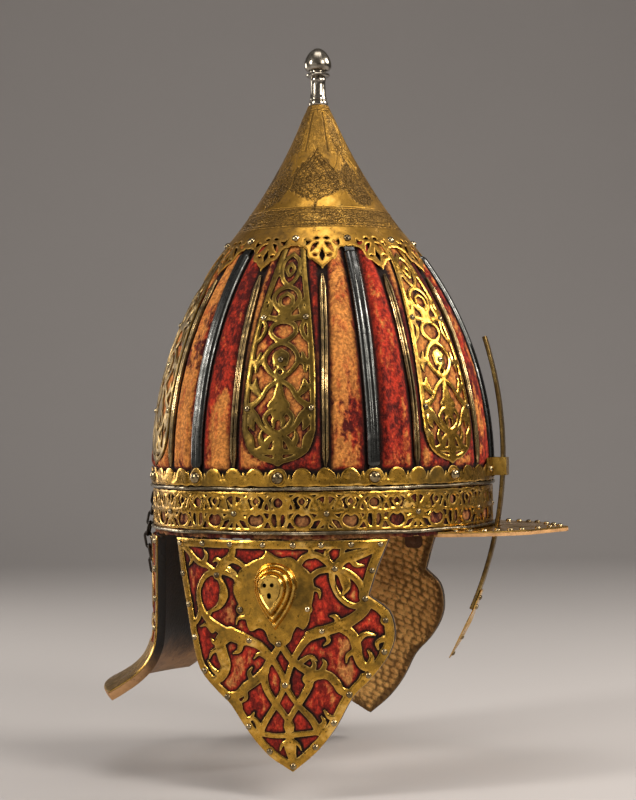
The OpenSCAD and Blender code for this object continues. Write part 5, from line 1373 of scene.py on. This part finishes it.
def boss_radius(angle):
    """How far the boss's edge lies from its middle in a direction: a drop, round above and pointed below, with
    half width 16.9 sin t sin(t/2) and height -19.4 cos t about a middle 4.4 mm lower."""
    t = np.linspace(0.0, 2 * np.pi, 361)
    x, z = 16.9 * np.sin(t) * np.abs(np.sin(t / 2)), -19.4 * np.cos(t) - 4.4
    a = np.arctan2(z, x)
    order = np.argsort(a)
    return np.interp(angle, a[order], np.hypot(x, z)[order], period=2 * np.pi)


def boss_share(x, z):
    """How far a place lies from the boss's top, as a share of the way to its edge; the top leans back by 2 mm."""
    dx, dz = x[:, None] - BOSS_AT[0], z[None] - BOSS_AT[1]
    share = np.hypot(dx, dz) / boss_radius(np.arctan2(dz, dx))
    dx = dx + 2.0 * np.clip(1 - share, 0, 1)
    return np.hypot(dx, dz) / boss_radius(np.arctan2(dz, dx))


def make_cheek(side, name):
    """One cheekpiece; side is -1 on the right and 1 on the left."""
    body = "cheek_" + name
    place = on_cheek(side)
    x, z = steps(-73, 64.4, 0.6), steps(-136.4, -2.2, 0.6)
    field, whole = cheek_field(x, z)
    field = field + 0.10 * np.sin(x[:, None] / 3.1 + side) * np.sin(z[None] / 3.7)
    field = np.minimum(field, whole)
    swell = lambda a, b, rim: (CHEEK_R0 + 1.0 - 0.38 * (1 - smoothstep(rim, 0, 0.8))
                               + 0.16 * np.sin(a / 6.3 + 1) * np.sin(b / 7.1))
    sheet = pierced(x, z, field, place, CHEEK_R0, swell)
    gild(f"cheek_{name}_scrolls", sheet, gilt, body, f"cheek_{name}_openwork")
    # Boss: three rolled steps in the form of a drop, one in another, up to a low dome; hollow, with three holes
    u, v = steps(-17.4, 11.6, 0.3), steps(-55.0, -14.4, 0.3)
    share = boss_share(u, v)
    holes = draw(u, v, [np.array([[BOSS_AT[0] + a, BOSS_AT[1] + b, c], [BOSS_AT[0] + a + 0.02, BOSS_AT[1] + b - d, c]])
                        for a, b, c, d in ((-4.1, 2.5, 1.2, 0), (0.3, 2.7, 1.2, 0), (-1.4, -2.9, 1.2, 1.0))], 0.1)
    q = np.clip((1 - share) / 0.54, 0, 0.9999) * 3
    tread = 1.1 * np.sin(np.pi / 2 * np.clip((q % 1) / 0.66, 0, 1)) - 0.36 * smoothstep(q % 1, 0.66, 1.0)
    level = 7.6 * (np.floor(q) + tread) / 3
    level = np.where(share < 0.46, 7.6 * (2 + 0.74) / 3 + 0.7 * (1 - (share / 0.46) ** 2), level)
    edge_gap = np.minimum((1 - share) * 12.0, -holes)

    def boss_height(a, b, _):
        (i0, s), (j0, t) = between(u, a), between(v, b)
        return BOSS_R + (level[i0, j0] * (1 - s) * (1 - t) + level[i0 + 1, j0] * s * (1 - t)
                         + level[i0, j0 + 1] * (1 - s) * t + level[i0 + 1, j0 + 1] * s * t)

    points, faces, values = pierced(u, v, edge_gap, place, BOSS_R, boss_height)
    n = len(points) // 2
    low = place(points[:n, 0], points[:n, 2], np.maximum(np.hypot(points[:n, 0], points[:n, 1]) - 1.0, BOSS_R))
    points[n:] = low
    values["rim"] = values["rim"] * 0 + 3.0
    gild(f"cheek_{name}_boss", (points, faces, values), gilt_boss_lit, body, f"cheek_{name}_ear_boss", crease=42)
    # Velvet over the plate, puffed between the scrolls
    u, v = steps(-72.6, 63.6, 1.1), steps(-136.0, -2.4, 1.1)
    cover = inside(u, v, CHEEK_OUTLINE)
    open_part = -cheek_field(u, v)[0]
    puff = 0.75 * smoothstep(open_part, 0.3, 4.0)
    rumple = np.sin(u[:, None] / 4.7 + 1.2 * np.sin(v[None] / 9)) * np.sin(v[None] / 6.1 + side)
    puff = puff * (1 + 0.25 * rumple)
    # The swell mask paints shade on the cloth beside the scrolls and along its rumples, and near black under the boss
    # so that its holes read dark
    raised = np.clip(0.05 + 0.85 * smoothstep(open_part, -0.1, 3.4) + 0.16 * rumple, 0, 1)
    raised = raised * smoothstep(boss_share(u, v), 0.7, 0.95)

    def cloth(a, b, _):
        return CLOTH_R1 + puff[nearest(u, a), nearest(v, b)]

    sheet = pierced(u, v, cover, place, CLOTH_R0, cloth, extra={"raised": raised})
    cover_with(f"cheek_{name}_cloth", sheet, cheek_cloth, body, f"cheek_{name}_velvet", 0.5)
    # Quilted suede lining: rows of stitched dimples
    u, v = steps(-72.2, 63.2, 0.84), steps(-135.6, -2.6, 0.84)
    shape = inside(u, v, CHEEK_OUTLINE) - 0.3
    frayed = 0.35 * np.sin(u[:, None] * 1.9 + 2 * np.sin(v[None] / 3)) * np.sin(v[None] * 1.3)
    pit = 1 - quilt(u[:, None], v[None])

    def pads(a, b, rim):
        hem = smoothstep(rim, 0, 2.0)
        return QUILT_R0 + 1.2 * (1 - quilt(a, b)) * hem + 0.7 * (1 - hem)

    points, faces, values = pierced(u, v, np.minimum(shape, shape + frayed), place, QUILT_R1, pads, extra={"pit": pit})
    piece = build(f"cheek_{name}_quilting", points, faces, suede, 70, values)
    dress(piece, body, "leather_brown", f"cheek_{name}_lining")
    spots = []
    for a, b in CHEEK_EDGE_SPOTS + CHEEK_INNER_SPOTS:
        y = side * math.sqrt(CHEEK_R1**2 - a * a)
        out = np.array([a, y, 0.0]) / CHEEK_R1
        spots.append((np.array([a, y, b]) + out * 0.05, out))
    rivets(f"cheek_{name}_rivet_heads", spots, 1.9, 1.5, body, f"cheek_{name}_rivets")


def quilt(a, b):
    """Fullness of quilting from 0 at the stitches to 1: soft pads about 6 by 4 mm in slanting, wavering rows."""
    p = (a + 0.9 * np.sin(b / 5.3) + 0.7 * np.sin(a / 4.1 + b / 6.7)) / 5.8
    q = (b + 0.42 * a + 0.8 * np.sin(a / 7.9) + 0.5 * np.sin(b / 3.7 + a / 5.0)) / 4.2
    p = p + 0.37 * np.floor(q) + 0.21 * np.sin(2.3 * np.floor(q))
    return np.abs(np.sin(np.pi * p) * np.sin(np.pi * q)) ** 0.8


def make_straps():
    """Hanging straps: leather 14 mm wide and 1.4 mm thick."""
    for side, name in SIDES:
        parts = []
        for a in STRAP_TURNS:
            z = np.linspace(-21, 12, 34)
            ends = np.sqrt(np.clip(1 - (1 - np.clip((z + 21) / 4, 0, 1)) ** 2, 0, 1)) * np.sqrt(
                np.clip(1 - (1 - np.clip((12 - z) / 4, 0, 1)) ** 2, 0, 1))
            t = math.radians(a - 90)
            outline = places_of("-7 0, -5 -0.02, 0 -0.03, 5 -0.02, 7 0, 7 1.2, 5 1.32, 0 1.36, -5 1.32, -7 1.2")
            s = np.repeat(np.array(outline)[None], len(z), 0)
            s[..., 0] *= (0.62 + 0.38 * ends)[:, None]
            out = np.array([math.cos(t), math.sin(t), 0.0])
            cross = np.array([-math.sin(t), math.cos(t), 0.0])
            middle = out * 98.42 + np.array([0, 0, 1.0]) * z[:, None]
            parts.append(swept(middle, np.tile(out, (len(z), 1)), np.tile(cross, (len(z), 1)), s))
            for level in (8.0, -16.0):
                points, faces = dome(2.6, 0.5, 12)
                turn = np.stack([cross, [0, 0, 1.0], -out])
                parts.append((points @ turn + out * 98.35 + [0, 0, level], faces))
        points, faces, _ = join(parts)
        points = points * [1, -side, 1]
        piece = build(f"cheek_{name}_hanging_straps", points, faces, leather, 50)
        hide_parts(f"cheek_{name}_straps")
        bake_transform(piece)


# Linings


def make_lining():
    """Head lining: quilted suede that follows the bowl, with stitched lozenges that flatten towards the top."""
    n, rows = 252, 76
    theta = around(n)[:, None]
    z = np.concatenate([np.linspace(-2.0, 4, 6), np.linspace(5.6, 177.8, rows - 6)])[None]
    r = bowl_radius(z, -8.0)
    u = fold_angle(theta, math.radians(10)) / math.radians(10) + 0.5
    row = np.floor(z / 11.0)
    x = (u + 0.5 * (row % 2)) % 1.0
    pad = (np.sin(np.pi * x) * np.sin(np.pi * ((z / 11.0) % 1.0))) ** 0.6
    deep = 1.7 * (1 - pad) * smoothstep(z, 2, 9) * smoothstep(176 - z, 0, 20)
    inner_r = r + deep + 0.15 * wander(theta, z, 14, (3, 24), (0.02, 0.2), 41)
    inner_r = np.maximum(inner_r, r)
    for side in (-1, 1):
        for a in STRAP_TURNS:
            t = math.radians(side * (90 - a))
            near = (np.abs(fold_angle(theta - t, FULL_TURN)) * 98 < 8.0) & (z < 12.6)
            inner_r = np.where(near, 100.25, inner_r)
    inner = on_drum(theta, z, inner_r)
    front = (np.abs(fold_angle(theta, FULL_TURN)) < math.radians(37.5)) & (z < 21)
    outer_r = bowl_radius(z, -3.2) + 0 * theta
    outer_r = np.where(front, 101.6, outer_r)
    outer = on_drum(theta, z, outer_r)
    points = both_sides(outer, inner)
    pit = both_sides(0 * pad, 1 - pad).ravel()
    piece = build("quilted_head_lining", points, [grid_faces(n, 2 * rows, True, True)], suede, 70,
                  {"pit": pit, "rim": np.full(len(pit), 6.0)})
    dress(piece, "helmet", "lining_suede", "head_lining")


# Neck guard

NECK_ANGLE = 32.5
NECK_LINE = smooth_line(places_of(
    "108 -3.5, 108.5 -45, 109.4 -65, 111.6 -74, 116 -81.5, 123.2 -88, 132.3 -93.6, 138.8 -97"), 8)
NECK_RUN = np.concatenate([[0], np.cumsum(np.hypot(*np.diff(NECK_LINE, axis=0).T))])


def on_neck(theta, s, depth):
    """Angle theta from straight back and run s down the guard's profile, moved inwards by a depth."""
    r, z = np.interp(s, NECK_RUN, NECK_LINE[:, 0]), np.interp(s, NECK_RUN, NECK_LINE[:, 1])
    e = 0.6
    dr = np.interp(s + e, NECK_RUN, NECK_LINE[:, 0]) - np.interp(s - e, NECK_RUN, NECK_LINE[:, 0])
    dz = np.interp(s + e, NECK_RUN, NECK_LINE[:, 1]) - np.interp(s - e, NECK_RUN, NECK_LINE[:, 1])
    length = np.hypot(dr, dz)
    r, z = r + depth * dz / length, z - depth * dr / length
    return on_drum(theta + np.pi, z, r)


def make_neck():
    """Neck guard: layers of one profile; the gilt sheet has a frame, arched leaves and a plain lip."""
    run = NECK_RUN[-1]
    half = math.radians(NECK_ANGLE)
    scale = 110.0
    wide = half * scale
    x, s = steps(-wide - 0.8, wide + 0.8, 0.7), steps(-0.6, run + 0.6, 0.7)
    box = np.array([[-wide, 0], [wide, 0], [wide, run], [-wide, run]])
    whole = inside(x, s, box)
    lines = mirror_lines(strips("""
1.3 2.8 1.2: 0 3, 0 14, 0 30, 0 50, 0 64
1.3 1.6 1.4: 0 10, 12 12, 19 22, 14 33, 0 37
1.4 1.6 1.3: 0 37, 14 40, 20 50, 14 60, 0 65
1.5 1.8 1.4: 19 22, 28 14, 38 6, 44 3
1.5 2.2 1.3: 19 22, 30 27, 40 22, 58 20
1.5 2.0 1.3: 20 50, 30 44, 38 34, 36 27
1.4 2.2 1.3: 20 50, 32 56, 46 50, 58 52
1.2 1.8 0.4: 40 22, 48 32, 46 42, 38 44
1.5 1.6 1.2: 46 50, 50 60, 44 67
0.5 1.9 0.4: 8 22, 11 27, 6 31
0.5 1.9 0.4: 8 50, 12 54, 7 59
0.6 1.5 0.4: 30 14, 36 17, 33 21
"""))
    edge, lip = np.minimum(whole, 4.2 - whole), np.minimum(whole, s[None] - 66.0 + 0 * whole)
    field = np.minimum(draw(x, s, lines, 0.8, np.maximum(edge, lip)), whole)
    place = lambda a, b, h: on_neck(a / scale, b, -h)
    sheet = pierced(x, s, field, place, -0.8, sheet_height(0.0, 0.0, 0.3, 0.8))
    gild("neck_guard_scrolls", sheet, gilt, "neck_guard", "neck_openwork")
    u, v = steps(-wide, wide, 1.2), steps(0.2, run - 0.2, 1.2)
    wide -= 0.3
    cover = inside(u, v, np.array([[-wide, 0.3], [wide, 0.3], [wide, run - 0.5], [-wide, run - 0.5]]))
    rumple = 0.2 * np.sin(u[:, None] / 5) * np.sin(v[None] / 6)
    # The swell mask paints shade that follows the rumples of the cloth
    raised = np.clip(0.5 + rumple * 2, 0, 1)
    sheet = pierced(u, v, cover, place, -2.5, lambda a, b, rim: -1.05 + 0.12 * np.sin(a / 5) * np.sin(b / 6),
                    extra={"raised": raised})
    cover_with("neck_guard_cloth", sheet, red_velvet, "neck_guard", "neck_velvet", 0.55)
    points, faces, _ = pierced(
        u, v, cover, place, -3.95,
        lambda a, b, rim: -6.3 + 0.5 * (1 - smoothstep(rim, 0, 2)) + 0.12 * np.sin(a / 9) * np.sin(b / 13))
    path = np.vstack([np.column_stack([np.full(60, -half), np.linspace(1.0, run, 60)]),
                      np.column_stack([np.linspace(-half, half, 50), np.full(50, run)]),
                      np.column_stack([np.full(60, half), np.linspace(run, 1.0, 60)])])
    side, foot = np.repeat([-1, 0, 1], [60, 50, 60]), np.repeat([0, 1, 0], [60, 50, 60])
    side[59], side[110], foot[59], foot[110] = -1, 1, 1, 1
    t = path[:, 0] + np.pi
    round_it = np.stack([-np.sin(t), np.cos(t), 0 * t], -1) * side[:, None]
    down = on_neck(path[:, 0], path[:, 1], 3.0) - on_neck(path[:, 0], path[:, 1] - 1.0, 3.0)
    out = round_it + down * foot[:, None]
    hem = [on_neck(path[:, 0], path[:, 1], 0 * t + d) + out * k for d, k in
           ((1.0, 0.05), (1.0, 0.45), (2.2, 0.62), (4.6, 0.62), (5.9, 0.4), (5.9, 0.05))]
    hem = np.stack(hem, 1)
    m = len(path) - 1
    ends = [np.arange(6)[None, ::-1], m * 6 + np.arange(6)[None]]
    points, faces, _ = join([(points, faces), (hem, [grid_faces(m + 1, 6, False, True)] + ends)])
    piece = build("neck_guard_leather", points, faces, lip_leather, 70)
    dress(piece, "neck_guard", "leather_brown", "neck_lining")
    spots = []
    side_a = math.radians(NECK_ANGLE - 1.3)
    places = [(q * side_a, -level) for q in (-1, 1) for level in (24, 42, 60)]
    places += [(q * side_a / 2, -6.6) for q in range(-2, 3)]
    for a, level in places:
        spots.append(seat(on_neck, a, np.interp(-level, -NECK_LINE[:, 1], NECK_RUN), -0.05, rise=-1.0))
    rivets("neck_rivet_heads", spots, 2.0, 1.5, "neck_guard", "neck_rivets")


def dress_nodes():
    """Materials for the CAD nodes that keep their own shapes."""
    for finish, names in ((plate_steel, "skull finial_washer cheek_right_plate cheek_left_plate neck_plate"),
                          (iron, "rear_staple neck_staple chain_upper chain_lower"), (leather, "crown_disc"),
                          (gilt_plain, "nasal_bracket"), (peak_leather, "peak_lining")):
        for name in names.split():
            slots = NODES[name].data.materials
            slots.clear()
            slots.append(finish)


for make in (make_velvet_cover, make_ribs, make_beads, make_panels, make_bowl_rivets, make_scallops, make_brow,
             make_wires, make_cap, make_border, make_finial, make_peak, make_nasal):
    make()
for cheek in SIDES:
    make_cheek(*cheek)
for make in (make_straps, make_lining, make_neck, dress_nodes):
    make()


# Floor, light and camera


def make_stage():
    """A pale floor that rises into a backdrop, lamps and the photograph's camera."""
    floor_z = -0.152
    run = np.concatenate([np.linspace(-2.5, 1.6, 12), 1.6 + 1.0 * np.sin(np.linspace(0.1, np.pi / 2, 10)), [2.6, 2.6]])
    rise = np.concatenate([np.zeros(12), 1.0 - np.cos(np.linspace(0.1, np.pi / 2, 10)), [2.2, 4.0]])
    width = np.array([-4.0, 4.0])
    tilt = math.radians(14)
    points = np.stack([width[None] * math.cos(tilt) - run[:, None] * math.sin(tilt),
                       width[None] * math.sin(tilt) + run[:, None] * math.cos(tilt),
                       floor_z + rise[:, None] + 0 * width[None]], -1)
    mesh = bpy.data.meshes.new("studio_floor")
    mesh.from_pydata(points.reshape(-1, 3).tolist(), [], grid_faces(len(run), 2).tolist())
    mesh.polygons.foreach_set("use_smooth", np.ones(len(mesh.polygons), bool))
    m, net, feed = material("pale_floor")
    cloud = net.noise(net.here(), 1.3, 3)
    colour = net.mix(cloud, (0.42, 0.40, 0.395, 1), (0.46, 0.44, 0.435, 1))
    feed(Base_Color=colour, Roughness=0.9)
    mesh.materials.append(m)
    floor = bpy.data.objects.new("studio_floor", mesh)
    bpy.context.scene.collection.objects.link(floor)

    def lamp(name, at, aim, size, power, colour=(1, 1, 1)):
        data = bpy.data.lights.new(name, "AREA")
        data.shape, data.size, data.size_y = "RECTANGLE", size[0], size[1]
        data.energy, data.color = power, colour
        o = bpy.data.objects.new(name, data)
        o.location = at
        o.rotation_euler = (Vector(aim) - Vector(at)).to_track_quat("-Z", "Y").to_euler()
        bpy.context.scene.collection.objects.link(o)

    lamp("key_right", (1.15, -0.75, 0.75), (0, 0, 0.06), (0.4, 0.7), 15.0, (1.0, 0.94, 0.86))
    lamp("key_left", (-0.95, -0.85, 0.65), (0, 0, 0.06), (0.26, 0.7), 12.0, (1.0, 0.95, 0.88))
    lamp("front_glow", (1.15, 0.30, 0.85), (0, 0, 0.06), (0.5, 0.5), 16.0, (1.0, 0.94, 0.86))
    lamp("rear_glow", (-1.2, 0.42, 0.3), (0, 0, 0.03), (0.5, 0.6), 5.0, (1.0, 0.94, 0.86))
    lamp("camera_card", (-0.55, -2.0, 0.2), (0, 0, 0.0), (1.5, 0.9), 2.4, (1.0, 0.95, 0.88))
    lamp("top_fill", (0.1, -0.3, 1.35), (0, 0, 0.05), (0.8, 0.5), 5.0, (1.0, 0.95, 0.9))
    world = bpy.data.worlds.new("studio_world")
    bpy.context.scene.world = world
    world.use_nodes = True
    net = Net(world.node_tree)
    background = world.node_tree.nodes["Background"]
    direction = net.add("TexCoord", out=0)
    up = net.add("SeparateXYZ", {0: direction}, out=2)
    colour = net.mix(net.span(up, -0.25, 0.85), (0.20, 0.18, 0.165, 1), (0.64, 0.60, 0.57, 1))
    world.node_tree.links.new(colour, background.inputs[0])
    background.inputs[1].default_value = 0.32

    data = bpy.data.cameras.new("photograph_view")
    data.sensor_fit, data.sensor_height, data.lens = "VERTICAL", 36.0, 78.2
    camera = bpy.data.objects.new("photograph_view", data)
    eye, aim = Vector((0.2661, -1.0673, 0.065)), Vector((-0.0024, -0.0006, 0.0789))
    look = (aim - eye).to_track_quat("-Z", "Y").to_matrix().to_4x4()
    camera.matrix_world = Matrix.Translation(eye) @ look @ Matrix.Rotation(math.radians(-0.7), 4, "Z")
    bpy.context.scene.collection.objects.link(camera)
    bpy.context.scene.camera = camera
    bpy.context.scene.view_settings.view_transform = "Standard"


make_stage()
